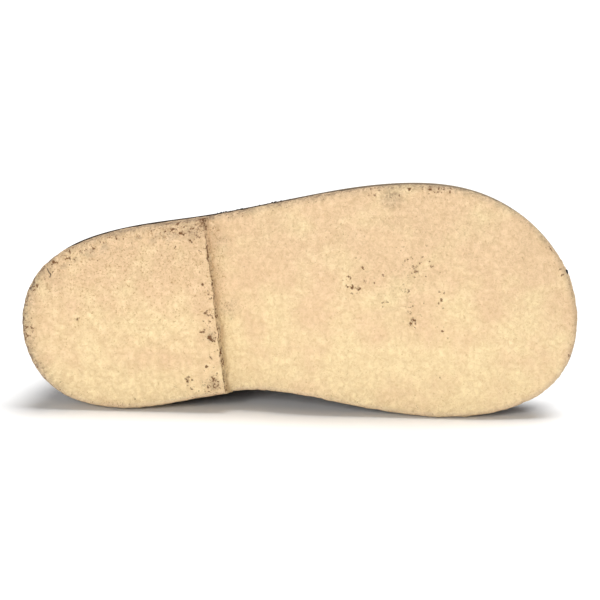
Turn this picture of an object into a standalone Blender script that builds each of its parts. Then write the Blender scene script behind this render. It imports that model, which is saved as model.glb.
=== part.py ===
"""A child's right lace-up shoe with a crepe rubber sole, lying on its medial side.

The shoe is modelled standing, in its own frame in metres: +X from heel to toe, +Y to the medial
side, +Z up, with the floor at Z = 0 under heel and tread. An empty then lays the whole shoe down
on its medial side, sole towards -Y, as three points of it would rest on a floor at Z = 0.
"""

import math

import bmesh
import bpy
import numpy as np
from mathutils import Matrix, Vector

# Driving dimensions of the shoe
SOLE_LENGTH = 0.170
BALL_BREADTH = 0.0705
OUTSOLE_THICKNESS = 0.0050
HEEL_LIFT = 0.0050
TOE_SPRING = 0.0070
WALL = 0.0016
QUARTER_LAP = 0.0012
FLANGE_WIDTH = 0.0050
FLANGE_THICKNESS = 0.0018
INSOLE_THICKNESS = 0.0022
TONGUE_THICKNESS = 0.0020
GAP = 0.0003

# Where the underside is level, along the length
SEAT_END = 0.385 * SOLE_LENGTH
TREAD_START = 0.545 * SOLE_LENGTH
TREAD_END = 0.790 * SOLE_LENGTH

# Edges of the sole
EDGE_ROUND = 0.0014
FLANGE_OVERHANG = 0.0003
BREAST_SLOPE = 0.0013

# Outline of the sole, round the shoe from the heel's back over the lateral side to the toe and
# back along the medial side: share of SOLE_LENGTH, share of BALL_BREADTH (medial is positive)
SOLE_OUTLINE = (
    # landmark, along, across
    ("heel_back", 0.000, 0.026),
    ("heel_corner_lateral", 0.042, -0.245),
    ("heel_side_lateral", 0.137, -0.367),
    ("breast_lateral", 0.337, -0.446),
    ("waist_lateral", 0.499, -0.520),
    ("ball_lateral", 0.689, -0.581),
    ("toe_shoulder_lateral", 0.825, -0.542),
    ("toe_corner_lateral", 0.932, -0.381),
    ("toe_tip", 1.000, -0.009),
    ("toe_corner_medial", 0.963, 0.272),
    ("toe_shoulder_medial", 0.879, 0.384),
    ("ball_medial", 0.735, 0.413),
    ("fore_waist_medial", 0.572, 0.352),
    ("waist_medial", 0.445, 0.308),
    ("breast_medial", 0.369, 0.316),
    ("heel_side_medial", 0.191, 0.376),
    ("heel_corner_medial", 0.056, 0.290),
)
BREAST_LANDMARKS = ("breast_lateral", "breast_medial")

# Sections of the upper from the heel's back to the toe's tip. Each one runs from the feather line,
# at a share of the way round the half outline, up to the top line.
UPPER_SECTIONS = (
    # section, share, top x, top z, half gap, ridge y, medial rise, lean, bulge, low pull, top pull
    ("heel_back", 0.00, 0.0078, 0.0570, 0.0000, 0.0012, 0.0000, 86.0, 0.0052, 0.36, 0.36),
    ("heel_curve", 0.05, 0.0095, 0.0568, 0.0086, 0.0011, 0.0000, 86.0, 0.0051, 0.36, 0.36),
    ("heel_turn", 0.11, 0.0168, 0.0550, 0.0160, 0.0010, 0.0002, 84.0, 0.0048, 0.36, 0.36),
    ("ankle", 0.23, 0.0380, 0.0478, 0.0208, 0.0008, 0.0022, 80.0, 0.0040, 0.38, 0.36),
    ("collar_front", 0.32, 0.0570, 0.0550, 0.0184, 0.0004, 0.0012, 66.0, 0.0030, 0.40, 0.40),
    ("facing_top", 0.385, 0.0685, 0.0640, 0.0098, 0.0000, 0.0000, 36.0, 0.0024, 0.44, 0.52),
    ("facing_middle", 0.43, 0.0830, 0.0562, 0.0070, -0.0008, 0.0000, 22.0, 0.0020, 0.46, 0.54),
    ("throat", 0.48, 0.0985, 0.0478, 0.0052, -0.0018, 0.0000, 14.0, 0.0018, 0.48, 0.56),
    ("vamp", 0.62, 0.1180, 0.0398, 0.0045, -0.0032, 0.0000, 9.0, 0.0020, 0.52, 0.58),
    ("toe_box", 0.78, 0.1380, 0.0345, 0.0040, -0.0036, 0.0000, 8.0, 0.0024, 0.58, 0.60),
    ("toe_top", 0.91, 0.1510, 0.0305, 0.0024, -0.0024, 0.0000, 12.0, 0.0026, 0.60, 0.60),
    ("toe_tip", 1.00, 0.1560, 0.0284, 0.0000, -0.0010, 0.0000, 20.0, 0.0026, 0.60, 0.58),
)
SECTION_COLUMNS = (
    "share", "top_x", "top_z", "half_gap", "ridge_y", "medial_rise", "lean", "bulge",
    "low_pull", "top_pull",
)
QUARTER_EDGE = 0.48
QUARTER_STEP = 0.002
LAP_FADE = 0.20

# Fineness of the faceted solids
REAR_ROWS = 24
FRONT_ROWS = 20
WALL_COLUMNS = 11
SOLE_ROWS = 40
SOLE_COLUMNS = 4
OUTLINE_SAMPLES = 4000

# Lacing: pairs of eyelets along the facings, from the throat up
EYELET_SHARES = (0.462, 0.432, 0.401)
EYELET_INSET = 0.0062
EYELET_FLANGE_RADIUS = 0.0031
EYELET_BARREL_RADIUS = 0.0021
EYELET_BORE_RADIUS = 0.0016
EYELET_FLANGE_RISE = 0.0006
EYELET_DEPTH = 0.0024
LACE_RADIUS = 0.0012
LACE_RISE = 0.0028
LACE_TURN = 0.0020
LACE_OVER_TONGUE = 0.0026
LACE_TAIL = 0.0022

# Tongue: its ends as shares round the outline, and how far its free end stands above the facings
TONGUE_FRONT = 0.56
TONGUE_TOP = 0.390
TONGUE_FREE_LENGTH = 0.012
TONGUE_FREE_STEPS = (0.25, 0.5, 0.75, 1.0)
TONGUE_ROUND = 0.5
TONGUE_SIDE = 0.0095
TONGUE_GAP = 0.0006
TONGUE_SINK = 0.0012
TONGUE_ROWS = 12
TONGUE_SIDE_COLUMNS = 3

COLOURS = {
    # finish, linear base colour, roughness, metallic
    "crepe": ((0.76, 0.55, 0.31), 0.85, 0.0),
    "upper_leather": ((0.045, 0.022, 0.012), 0.55, 0.0),
    "lining_leather": ((0.42, 0.25, 0.13), 0.65, 0.0),
    "lace_cotton": ((0.030, 0.017, 0.011), 0.80, 0.0),
    "eyelet_metal": ((0.10, 0.065, 0.035), 0.40, 1.0),
}


def smoothstep(share):
    share = np.clip(share, 0.0, 1.0)
    return share * share * (3.0 - 2.0 * share)


def unit(vectors):
    return vectors / np.linalg.norm(vectors, axis=-1, keepdims=True)


def closed_spline(points, samples):
    """Points at equal steps of a periodic cubic spline through the given ones, by chord length."""
    count = len(points)
    steps = np.linalg.norm(np.roll(points, -1, axis=0) - points, axis=1)
    before = np.roll(steps, 1)
    matrix = np.zeros((count, count))
    index = np.arange(count)
    matrix[index, index] = 2.0 * (before + steps)
    matrix[index, index - 1] = before
    matrix[index, (index + 1) % count] = steps
    slope = (np.roll(points, -1, axis=0) - points) / steps[:, None]
    bend = np.linalg.solve(matrix, 6.0 * (slope - np.roll(slope, 1, axis=0)))
    knots = np.concatenate([[0.0], np.cumsum(steps)])
    where = np.linspace(0.0, knots[-1], samples, endpoint=False)
    span = np.clip(np.searchsorted(knots, where, side="right") - 1, 0, count - 1)
    after, width = (span + 1) % count, steps[span][:, None]
    left = (where - knots[span])[:, None]
    right = width - left
    return (
        (bend[span] * right**3 + bend[after] * left**3) / (6.0 * width)
        + (points[span] / width - bend[span] * width / 6.0) * right
        + (points[after] / width - bend[after] * width / 6.0) * left
    )


def monotone_curve(knots, values, where, level_ends):
    """Piecewise cubic through the rows that never swings past them (Fritsch and Carlson), and
    that starts and ends level if asked, so that it runs on smoothly into its mirror image."""
    step = np.diff(knots)
    slope = np.diff(values) / step
    tangent = np.zeros(len(knots))
    same_way = slope[:-1] * slope[1:] > 0.0
    weight_a, weight_b = 2.0 * step[1:] + step[:-1], step[1:] + 2.0 * step[:-1]
    safe = np.where(same_way, slope[:-1] * slope[1:], 1.0)
    mean = (weight_a + weight_b) * safe / (weight_a * slope[1:] + weight_b * slope[:-1] + 1e-30)
    tangent[1:-1] = np.where(same_way, mean, 0.0)
    if not level_ends:
        tangent[0], tangent[-1] = 1.2 * slope[0], 1.2 * slope[-1]
    span = np.clip(np.searchsorted(knots, where, side="right") - 1, 0, len(step) - 1)
    part = (where - knots[span]) / step[span]
    near = (1.0 + 2.0 * part) * (1.0 - part) ** 2 * values[span]
    near = near + part * (1.0 - part) ** 2 * step[span] * tangent[span]
    far = part**2 * (3.0 - 2.0 * part) * values[span + 1]
    return near + far + part**2 * (part - 1.0) * step[span] * tangent[span + 1]


class Outline:
    """The sole's edge in plan. A place on it is signed: from 0 at the heel's back to +1 at the
    toe's tip along the medial side, and to -1 along the lateral side, by arc length."""

    def __init__(self):
        names = [row[0] for row in SOLE_OUTLINE]
        points = np.array([[row[1] * SOLE_LENGTH, row[2] * BALL_BREADTH] for row in SOLE_OUTLINE])
        loop = closed_spline(points, OUTLINE_SAMPLES)
        tip = int(np.argmin(np.linalg.norm(loop - points[names.index("toe_tip")], axis=1)))
        lateral, medial = loop[: tip + 1], np.concatenate([loop[:1], loop[:tip - 1:-1]])
        self.sides = {}
        for sign, side in ((-1, lateral), (1, medial)):
            run = np.concatenate([[0.0], np.cumsum(np.linalg.norm(np.diff(side, axis=0), axis=1))])
            self.sides[sign] = (run / run[-1], side)
        self.points = dict(zip(names, points))

    def edge(self, place):
        """Points of the edge at signed places, which wrap past the toe's tip."""
        place = (np.asarray(place, float) + 1.0) % 2.0 - 1.0
        found = np.empty(place.shape + (2,))
        for sign, (share, side) in self.sides.items():
            mine = (place >= 0.0) if sign > 0 else (place < 0.0)
            for axis in (0, 1):
                found[mine, axis] = np.interp(np.abs(place[mine]), share, side[:, axis])
        return found

    def outward(self, place):
        """Unit vectors in plan that point away from the sole at signed places."""
        step = 0.004
        along = self.edge(place + step) - self.edge(place - step)
        return unit(np.stack([-along[..., 1], along[..., 0]], axis=-1))

    def inset(self, place, distance):
        return self.edge(place) - self.outward(place) * np.asarray(distance)[..., None]

    def share_of(self, landmark):
        """Share of the way round its half outline at which a landmark lies."""
        point = self.points[landmark]
        share, side = self.sides[1 if point[1] > 0.0 else -1]
        return float(share[np.argmin(np.linalg.norm(side - point, axis=1))])


OUTLINE = Outline()


def underside(x):
    """Height of the outsole's underside: level heel seat, waist, level tread and toe spring."""
    waist = smoothstep((x - SEAT_END) / (TREAD_START - SEAT_END))
    toe = np.clip((x - TREAD_END) / (SOLE_LENGTH - TREAD_END), 0.0, None)
    return HEEL_LIFT * (1.0 - waist) + TOE_SPRING * toe**2


def bed(x):
    """Height at which upper and insole lie on the outsole."""
    return underside(x) + OUTSOLE_THICKNESS + GAP


def on_bed(plan, rise=0.0):
    return np.concatenate([plan, (bed(plan[..., 0]) + rise)[..., None]], axis=-1)


def section(place):
    """The table of sections read between its rows, as a dict of arrays."""
    share = 1.0 - np.abs(1.0 - np.abs(np.asarray(place, float)))
    table = np.array([row[1:] for row in UPPER_SECTIONS])
    return {
        name: monotone_curve(table[:, 0], table[:, column], share, name != "half_gap")
        for column, name in enumerate(SECTION_COLUMNS)
    }


def side_of(place):
    """+1 on the medial side and -1 on the lateral side of a signed place that wraps at the toe."""
    place = (np.asarray(place, float) + 1.0) % 2.0 - 1.0
    return np.where(place >= 0.0, 1.0, -1.0)


def last_wall(place, height):
    """The last's surface: a cubic from the feather line (height 0) to the top line (height 1)
    that starts upright with a bulge and arrives at the section's lean from the horizontal."""
    place, height = np.broadcast_arrays(np.asarray(place, float), np.asarray(height, float))
    row, side = section(place), side_of(place)
    outward = OUTLINE.outward(place)
    foot = on_bed(OUTLINE.inset(place, np.full(place.shape, FLANGE_WIDTH)))
    top = np.stack(
        [
            row["top_x"],
            row["ridge_y"] + side * row["half_gap"],
            row["top_z"] + row["medial_rise"] * (side > 0.0),
        ],
        axis=-1,
    )
    rise = top[..., 2] - foot[..., 2]
    reach = np.linalg.norm(foot[..., :2] - top[..., :2], axis=-1)
    lean = np.radians(row["lean"])
    level = unit(foot[..., :2] - top[..., :2] + outward * FLANGE_WIDTH)
    low = foot.copy()
    low[..., :2] += outward * row["bulge"][..., None]
    low[..., 2] += row["low_pull"] * rise
    pull = row["top_pull"] * (np.cos(lean) * reach + np.sin(lean) * rise)
    high = top.copy()
    high[..., :2] += level * (np.cos(lean) * pull)[..., None]
    high[..., 2] -= np.sin(lean) * pull
    t = height[..., None]
    return (
        foot * (1.0 - t) ** 3 + low * 3.0 * t * (1.0 - t) ** 2
        + high * 3.0 * t**2 * (1.0 - t) + top * t**3
    )


def crown(share):
    """The line along the top of the last, between the two walls."""
    share = np.asarray(share, float)
    row = section(share)
    top = row["top_z"] + row["half_gap"] * np.tan(np.radians(row["lean"]) / 2.0)
    return np.stack([row["top_x"], row["ridge_y"], top], axis=-1)


def wall_normal(place, height):
    """Unit normals of the last's wall, pointing away from the foot."""
    step = 0.004
    low, high = np.clip(height - step, 0.0, 1.0), np.clip(height + step, 0.0, 1.0)
    along = last_wall(place + step, height) - last_wall(place - step, height)
    up = last_wall(place, high) - last_wall(place, low)
    return unit(np.cross(up, along))


def crown_normal(share):
    step = 0.004
    along = crown(np.clip(share + step, 0.0, 1.0)) - crown(np.clip(share - step, 0.0, 1.0))
    return unit(np.cross(along, np.broadcast_to([0.0, 1.0, 0.0], along.shape)))


def leather_at(share):
    """Thickness of the upper: the quarters lap over the vamp and thin out towards the heel."""
    lap = 1.0 - smoothstep((QUARTER_EDGE - share) / LAP_FADE) * 0.75
    return WALL + np.where(share < QUARTER_EDGE, QUARTER_LAP * lap, 0.0)


def link(name, mesh_or_curve, finish):
    obj = bpy.data.objects.new(name, mesh_or_curve)
    bpy.context.scene.collection.objects.link(obj)
    mesh_or_curve.materials.append(material(finish))
    return obj


def material(finish):
    made = bpy.data.materials.get(finish)
    if made is None:
        made = bpy.data.materials.new(finish)
        made.use_nodes = True
        colour, roughness, metallic = COLOURS[finish]
        shader = made.node_tree.nodes["Principled BSDF"]
        shader.inputs["Base Color"].default_value = (*colour, 1.0)
        shader.inputs["Roughness"].default_value = roughness
        shader.inputs["Metallic"].default_value = metallic
    return made


def solid(name, points, faces, finish, sharp_deg=40.0):
    """A closed mesh from points and faces: coincident points are welded and faces turned out."""
    mesh = bpy.data.meshes.new(name)
    mesh.from_pydata(points.tolist(), [], faces)
    shape = bmesh.new()
    shape.from_mesh(mesh)
    bmesh.ops.remove_doubles(shape, verts=shape.verts, dist=1e-6)
    bmesh.ops.dissolve_degenerate(shape, edges=shape.edges, dist=1e-7)
    loose = [vertex for vertex in shape.verts if not vertex.link_faces]
    bmesh.ops.delete(shape, geom=loose, context="VERTS")
    bmesh.ops.recalc_face_normals(shape, faces=shape.faces)
    shape.to_mesh(mesh)
    shape.free()
    mesh.shade_smooth()
    mesh.set_sharp_from_angle(angle=math.radians(sharp_deg))
    return link(name, mesh, finish)


def skinned(name, under, over, kept, finish):
    """A wall between two grids of points: the cells that are kept on both, and rims all round."""
    rows, columns = under.shape[:2]
    index = np.arange(rows * columns).reshape(rows, columns)
    offset = rows * columns
    faces, edges = [], {}
    for row, column in zip(*np.nonzero(kept)):
        corners = (
            index[row, column], index[row + 1, column],
            index[row + 1, column + 1], index[row, column + 1],
        )
        corners = [int(corner) for corner in corners]
        faces.append(corners)
        faces.append([corner + offset for corner in reversed(corners)])
        for start, end in zip(corners, corners[1:] + corners[:1]):
            if edges.pop((end, start), None) is None:
                edges[(start, end)] = True
    faces += [[end, start, start + offset, end + offset] for start, end in edges]
    points = np.concatenate([under.reshape(-1, 3), over.reshape(-1, 3)])
    return solid(name, points, welded_faces(points, faces), finish)


def welded_faces(points, faces):
    """Faces without the rims along which a grid only meets itself again."""
    key = [tuple(point) for point in np.round(points, 7).tolist()]
    seen = {}
    for face in faces:
        name = frozenset(key[corner] for corner in face)
        seen.setdefault(name, []).append(face)
    return [group[0] for group in seen.values() if len(group) == 1]


def ladder(lateral, medial, columns):
    """Rows of points straight across from the lateral to the medial side."""
    across = np.linspace(0.0, 1.0, columns + 1)[None, :, None]
    return lateral[:, None, :] * (1.0 - across) + medial[:, None, :] * across


def front_edge(lateral, medial):
    """Points after the lateral edge's end, along a straight front edge if the sides don't meet."""
    if np.linalg.norm(lateral[-1] - medial[-1]) < 1e-6:
        return lateral[:0]
    return ladder(lateral[-1:], medial[-1:], SOLE_COLUMNS)[0, 1:]


def slab(name, outlines, top_of, bottom_of, finish):
    """A layer of the sole. outlines holds (lateral edge, medial edge, share of the thickness) for
    each ring from the top down, and the top and bottom faces are ladders between their edges."""
    rings = []
    for lateral, medial, share in outlines:
        loop = np.concatenate([lateral, front_edge(lateral, medial), medial[-2:0:-1]])
        ends = [top_of(loop[:, 0]), bottom_of(loop[:, 0])]
        rings.append(np.column_stack([loop, ends[0] * (1.0 - share) + ends[1] * share]))
    points, faces = [np.concatenate(rings)], []
    count = len(rings[0])
    for ring in range(len(rings) - 1):
        for step in range(count):
            after = (step + 1) % count
            here, below = ring * count, (ring + 1) * count
            faces.append([here + step, here + after, below + after, below + step])
    start = count * len(rings)
    for (lateral, medial, _), height in ((outlines[0], top_of), (outlines[-1], bottom_of)):
        plan = ladder(lateral, medial, SOLE_COLUMNS)
        grid = np.concatenate([plan, height(plan[..., 0])[..., None]], axis=-1)
        index = np.arange(grid.shape[0] * grid.shape[1]).reshape(grid.shape[:2]) + start
        for row in range(grid.shape[0] - 1):
            for column in range(grid.shape[1] - 1):
                faces.append([int(index[row, column]), int(index[row + 1, column]),
                              int(index[row + 1, column + 1]), int(index[row, column + 1])])
        points.append(grid.reshape(-1, 3))
        start += grid.shape[0] * grid.shape[1]
    return solid(name, np.concatenate(points), faces, finish)


def edge_shares(last_lateral=1.0, last_medial=1.0):
    """Shares along both half outlines, closer together at the heel's back and the toe's tip."""
    step = np.linspace(0.0, 1.0, SOLE_ROWS + 1)
    if last_lateral == 1.0:
        step = 0.5 - 0.5 * np.cos(np.pi * step) * (1.0 - 0.35 * np.sin(np.pi * step) ** 2)
    else:
        step = step**1.5
    return -step * last_lateral, step * last_medial


def make_outsole():
    lateral, medial = edge_shares()

    def ring(inset, share):
        return (OUTLINE.inset(lateral, np.full(lateral.shape, inset)),
                OUTLINE.inset(medial, np.full(medial.shape, inset)), share)

    round_share = EDGE_ROUND / OUTSOLE_THICKNESS
    rings = [ring(0.0, 0.0), ring(0.0, 1.0 - round_share),
             ring(EDGE_ROUND * 0.3, 1.0 - round_share * 0.3), ring(EDGE_ROUND, 1.0)]
    return slab("outsole", rings, lambda x: underside(x) + OUTSOLE_THICKNESS, underside, "crepe")


def make_heel():
    """The crepe lift under the heel seat. Its breast slopes forward from the tread up."""
    ends = [OUTLINE.share_of(landmark) for landmark in BREAST_LANDMARKS]
    lateral, medial = edge_shares(*ends)
    forward = np.linspace(0.0, 1.0, SOLE_ROWS + 1) ** 8

    def ring(inset, share):
        slope = np.stack([forward * BREAST_SLOPE * (1.0 - share) - forward * inset,
                          np.zeros_like(forward)], axis=-1)
        return (OUTLINE.inset(lateral, np.full(lateral.shape, inset)) + slope,
                OUTLINE.inset(medial, np.full(medial.shape, inset)) + slope, share)

    round_share = EDGE_ROUND / HEEL_LIFT
    rings = [ring(0.0, 0.0), ring(0.0, 1.0 - round_share),
             ring(EDGE_ROUND * 0.3, 1.0 - round_share * 0.3), ring(EDGE_ROUND, 1.0)]
    return slab("heel", rings, lambda x: np.full(x.shape, HEEL_LIFT - GAP),
                lambda x: np.zeros_like(x), "crepe")


def make_insole():
    lateral, medial = edge_shares()
    inset = FLANGE_WIDTH + GAP

    def ring(share):
        return (OUTLINE.inset(lateral, np.full(lateral.shape, inset)),
                OUTLINE.inset(medial, np.full(medial.shape, inset)), share)

    return slab("insole", [ring(0.0), ring(1.0)], lambda x: bed(x) + INSOLE_THICKNESS, bed,
                "lining_leather")


def upper_rows():
    """Shares of the upper's rows, with two rows close together where the quarters end."""
    rear = np.linspace(0.0, QUARTER_EDGE - QUARTER_STEP, REAR_ROWS)
    front = QUARTER_EDGE + (1.0 - QUARTER_EDGE) * np.linspace(0.0, 1.0, FRONT_ROWS) ** 0.9
    return np.concatenate([rear, front])


def make_upper():
    """The hollow upper: flange, wall and crown as two grids of points a leather's thickness apart."""
    rows = upper_rows()
    leather = leather_at(rows)
    heights = np.linspace(0.0, 1.0, WALL_COLUMNS)
    under, over = {}, {}
    for side in (1.0, -1.0):
        place = side * rows[:, None] + np.zeros((1, WALL_COLUMNS))
        height = np.zeros((len(rows), 1)) + heights[None, :]
        wall = last_wall(place, height)
        outer = wall + wall_normal(place, height) * leather[:, None, None]
        edge = on_bed(OUTLINE.inset(side * rows, np.full(rows.shape, -FLANGE_OVERHANG)))
        crease = on_bed(OUTLINE.inset(side * rows, FLANGE_WIDTH - leather), FLANGE_THICKNESS)
        outer[:, 0] = crease
        lift = np.array([0.0, 0.0, FLANGE_THICKNESS])
        under[side] = np.concatenate([edge[:, None], wall], axis=1)
        over[side] = np.concatenate([(edge + lift)[:, None], outer], axis=1)
    ridge = crown(rows)
    ridge_over = ridge + crown_normal(rows) * leather[:, None]
    grids = []
    for walls, middle in ((under, ridge), (over, ridge_over)):
        grids.append(np.concatenate([walls[1.0], middle[:, None], walls[-1.0][:, ::-1]], axis=1))
    kept = np.ones((len(rows) - 1, grids[0].shape[1] - 1), bool)
    middle = WALL_COLUMNS + 1
    kept[:REAR_ROWS, middle - 1:middle + 1] = False
    return skinned("upper", grids[0], grids[1], kept, "upper_leather")


def facing_height(place, distance):
    """Height on the wall that lies this far below the top line, measured along the leather."""
    heights = np.linspace(1.0, 0.0, 400)
    line = last_wall(np.full(heights.shape, place), heights)
    run = np.concatenate([[0.0], np.cumsum(np.linalg.norm(np.diff(line, axis=0), axis=1))])
    return float(np.interp(distance, run, heights))


def make_tongue():
    """The tongue: it lies under the facings, a gap inside the last, and stands free at its top,
    where its end is rounded."""
    shares = np.linspace(TONGUE_FRONT, TONGUE_TOP, TONGUE_ROWS)
    lines = []
    for share in shares:
        points, normals = [], []
        for side in (1.0, -1.0):
            low = facing_height(side * share, TONGUE_SIDE)
            heights = np.linspace(low, 1.0, TONGUE_SIDE_COLUMNS + 1)
            place = np.full(heights.shape, side * share)
            order = slice(None) if side > 0.0 else slice(None, None, -1)
            points.append(last_wall(place, heights)[order])
            normals.append(wall_normal(place, heights)[order])
        points.insert(1, crown(np.array([share])))
        normals.insert(1, crown_normal(np.array([share])))
        lines.append((np.concatenate(points), np.concatenate(normals)))
    points, normals = (np.array([line[part] for line in lines]) for part in (0, 1))
    free = unit(points[-1] - points[-2]).mean(axis=0)
    top = points[-1]
    run = np.concatenate([[0.0], np.cumsum(np.linalg.norm(np.diff(top, axis=0), axis=1))])
    across = 1.0 - 2.0 * run / run[-1]
    reach = TONGUE_FREE_LENGTH * (1.0 - TONGUE_ROUND * np.abs(across) ** 3)
    reach = reach - (top - top[len(top) // 2]) @ free
    for step in TONGUE_FREE_STEPS:
        row = top.mean(axis=0) + (top - top.mean(axis=0)) * [1.0, 1.0 - 0.05 * step, 1.0]
        row = row + free * (reach * step)[:, None]
        points = np.concatenate([points, row[None]])
        normals = np.concatenate([normals, normals[TONGUE_ROWS - 1:TONGUE_ROWS]])
    sink = np.linspace(TONGUE_GAP, TONGUE_GAP + TONGUE_SINK, len(points))[:, None, None]
    over = points - normals * sink
    under = over - normals * TONGUE_THICKNESS
    kept = np.ones((points.shape[0] - 1, points.shape[1] - 1), bool)
    return skinned("tongue", under, over, kept, "upper_leather")


def eyelet_seat(side, share):
    """Where an eyelet sits: the point on the upper's outer face, and the axis of its bore."""
    height = np.array([facing_height(side * share, EYELET_INSET)])
    place = np.array([side * share])
    axis = wall_normal(place, height)[0]
    point = last_wall(place, height)[0] + axis * leather_at(np.array([share]))[0]
    return Vector(point), Vector(axis)


def turned(name, profile, steps, finish):
    """A ring turned about Z from a closed profile of (radius, height) points."""
    shape = bmesh.new()
    corners = [shape.verts.new((radius, 0.0, height)) for radius, height in profile]
    loop = [shape.edges.new(pair) for pair in zip(corners, corners[1:] + corners[:1])]
    bmesh.ops.spin(shape, geom=corners + loop, cent=(0, 0, 0), axis=(0, 0, 1),
                   angle=2.0 * math.pi, steps=steps, use_merge=True)
    bmesh.ops.remove_doubles(shape, verts=shape.verts, dist=1e-6)
    bmesh.ops.recalc_face_normals(shape, faces=shape.faces)
    mesh = bpy.data.meshes.new(name)
    shape.to_mesh(mesh)
    shape.free()
    mesh.shade_smooth()
    mesh.set_sharp_from_angle(angle=math.radians(40.0))
    return link(name, mesh, finish)


def make_eyelets(upper):
    """Six eyelets in the facings, each through a hole that a cutter makes in the upper."""
    rise = GAP + EYELET_FLANGE_RISE
    profile = (
        (EYELET_BORE_RADIUS, -EYELET_DEPTH), (EYELET_BARREL_RADIUS, -EYELET_DEPTH),
        (EYELET_BARREL_RADIUS, GAP), (EYELET_FLANGE_RADIUS, GAP),
        (EYELET_FLANGE_RADIUS, GAP + 0.5 * EYELET_FLANGE_RISE),
        (EYELET_FLANGE_RADIUS - 0.5 * EYELET_FLANGE_RISE, rise),
        (EYELET_BORE_RADIUS + 0.5 * EYELET_FLANGE_RISE, rise),
        (EYELET_BORE_RADIUS, GAP + 0.5 * EYELET_FLANGE_RISE),
    )
    made = []
    for side, side_name in ((1.0, "medial"), (-1.0, "lateral")):
        for number, share in enumerate(EYELET_SHARES, 1):
            point, axis = eyelet_seat(side, share)
            stand = Matrix.Translation(point) @ axis.to_track_quat("Z", "Y").to_matrix().to_4x4()
            eyelet = turned(f"eyelet_{side_name}_{number}", profile, 14, "eyelet_metal")
            eyelet.matrix_world = stand
            made.append(eyelet)
            bpy.ops.mesh.primitive_cylinder_add(
                vertices=14, radius=EYELET_BARREL_RADIUS + GAP, depth=0.012)
            cutter = bpy.context.object
            cutter.name = f"cutter_{side_name}_{number}"
            cutter.matrix_world = stand
            cutter.hide_render = True
            cutter.display_type = "WIRE"
            cut = upper.modifiers.new(cutter.name, "BOOLEAN")
            cut.object = cutter
            cut.operation = "DIFFERENCE"
            made.append(cutter)
    return made


def make_lace_bars():
    """Three straight bars of lace, each from one eyelet of a pair over to the other."""
    made = []
    for number, share in enumerate(EYELET_SHARES, 1):
        (start, start_axis), (end, end_axis) = (eyelet_seat(side, share) for side in (1.0, -1.0))
        middle = Vector(crown(np.array([share]))[0])
        middle += Vector(crown_normal(np.array([share]))[0]) * LACE_OVER_TONGUE
        ends = [lace_end(*seat, middle) for seat in ((start, start_axis), (end, end_axis))]
        ends = [knots + [over_facing(side, share)] for side, knots in zip((1.0, -1.0), ends)]
        knots = ends[0] + [middle] + ends[1][::-1]
        made.append(tube(f"lace_bar_{number}", knots, LACE_RADIUS, 0.0016, "lace_cotton"))
    return made


def over_facing(side, share):
    """Where a bar crosses the edge of a facing."""
    place, top = np.array([side * share]), np.array([1.0])
    clear = leather_at(np.array([share]))[0] + LACE_RADIUS + 2.0 * GAP
    return Vector((last_wall(place, top) + wall_normal(place, top) * clear)[0])


def lace_end(point, axis, middle):
    """Knots of a bar's end, from inside the bore straight up and over towards the middle."""
    towards = middle - point
    towards = (towards - axis * towards.dot(axis)).normalized()
    return [
        point - axis * LACE_TAIL,
        point,
        point + axis * 0.5 * LACE_RISE,
        point + axis * LACE_RISE + towards * LACE_TURN,
    ]


def tube(name, knots, radius, spacing, finish):
    """A round cord on a smooth curve through its knots, with a point every few millimetres."""
    knots = np.array([list(knot) for knot in knots])
    ends = np.concatenate([2.0 * knots[:1] - knots[1:2], knots, 2.0 * knots[-1:] - knots[-2:-1]])
    line = [knots[0]]
    for before, here, there, after in zip(ends, ends[1:], ends[2:], ends[3:]):
        count = max(2, round(float(np.linalg.norm(there - here)) / spacing))
        for step in range(1, count + 1):
            t = step / count
            line.append(0.5 * (2.0 * here + (there - before) * t
                               + (2.0 * before - 5.0 * here + 4.0 * there - after) * t**2
                               + (3.0 * here - before - 3.0 * there + after) * t**3))
    curve = bpy.data.curves.new(name, "CURVE")
    curve.dimensions = "3D"
    curve.bevel_depth = radius
    curve.bevel_resolution = 2
    curve.use_fill_caps = True
    spline = curve.splines.new("POLY")
    spline.points.add(len(line) - 1)
    for point, place in zip(spline.points, line):
        point.co = (*place, 1.0)
    return link(name, curve, finish)


def resting_matrix(solids):
    """Turns the standing shoe onto the face of its convex hull that takes its weight on the medial
    side, and puts the middle of its box over the origin, with that face on the floor."""
    points = np.concatenate([[list(v.co) for v in obj.data.vertices] for obj in solids])
    hull = bmesh.new()
    for point in points:
        hull.verts.new(point)
    bmesh.ops.convex_hull(hull, input=hull.verts)
    faces = [face for face in hull.faces if face.normal.y > 0.9]
    ground = max(faces, key=lambda face: face.calc_area())
    down = ground.normal.copy()
    hull.free()
    forward = (Vector((1.0, 0.0, 0.0)) - down * down.x).normalized()
    turn = Matrix((forward, down.cross(forward) * -1.0, down * -1.0)).to_4x4()
    turned_points = points @ np.array(turn.to_3x3()).T
    low, high = turned_points.min(axis=0), turned_points.max(axis=0)
    middle = (low + high) / 2.0
    return Matrix.Translation((-middle[0], -middle[1], -low[2])) @ turn


def main():
    for obj in list(bpy.data.objects):
        bpy.data.objects.remove(obj, do_unlink=True)
    upper = make_upper()
    solids = [make_outsole(), make_heel(), upper, make_insole(), make_tongue()]
    trims = make_eyelets(upper) + make_lace_bars()
    shoe = bpy.data.objects.new("shoe_lying", None)
    bpy.context.scene.collection.objects.link(shoe)
    for obj in solids + trims:
        obj.parent = shoe
    shoe.matrix_world = resting_matrix(solids)


main()
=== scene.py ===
"""A child's right lace-up shoe on a crepe sole, lying on its medial side, seen from below.

Shapes are worked out in the shoe's own frame, as it would stand: +X from heel to toe, +Y to the
medial side, +Z up, in metres. laid() then turns them over onto the floor, where the CAD lies.
"""

import math
from itertools import product

import bmesh
import bpy
import numpy as np
from mathutils import Matrix, Vector


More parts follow.
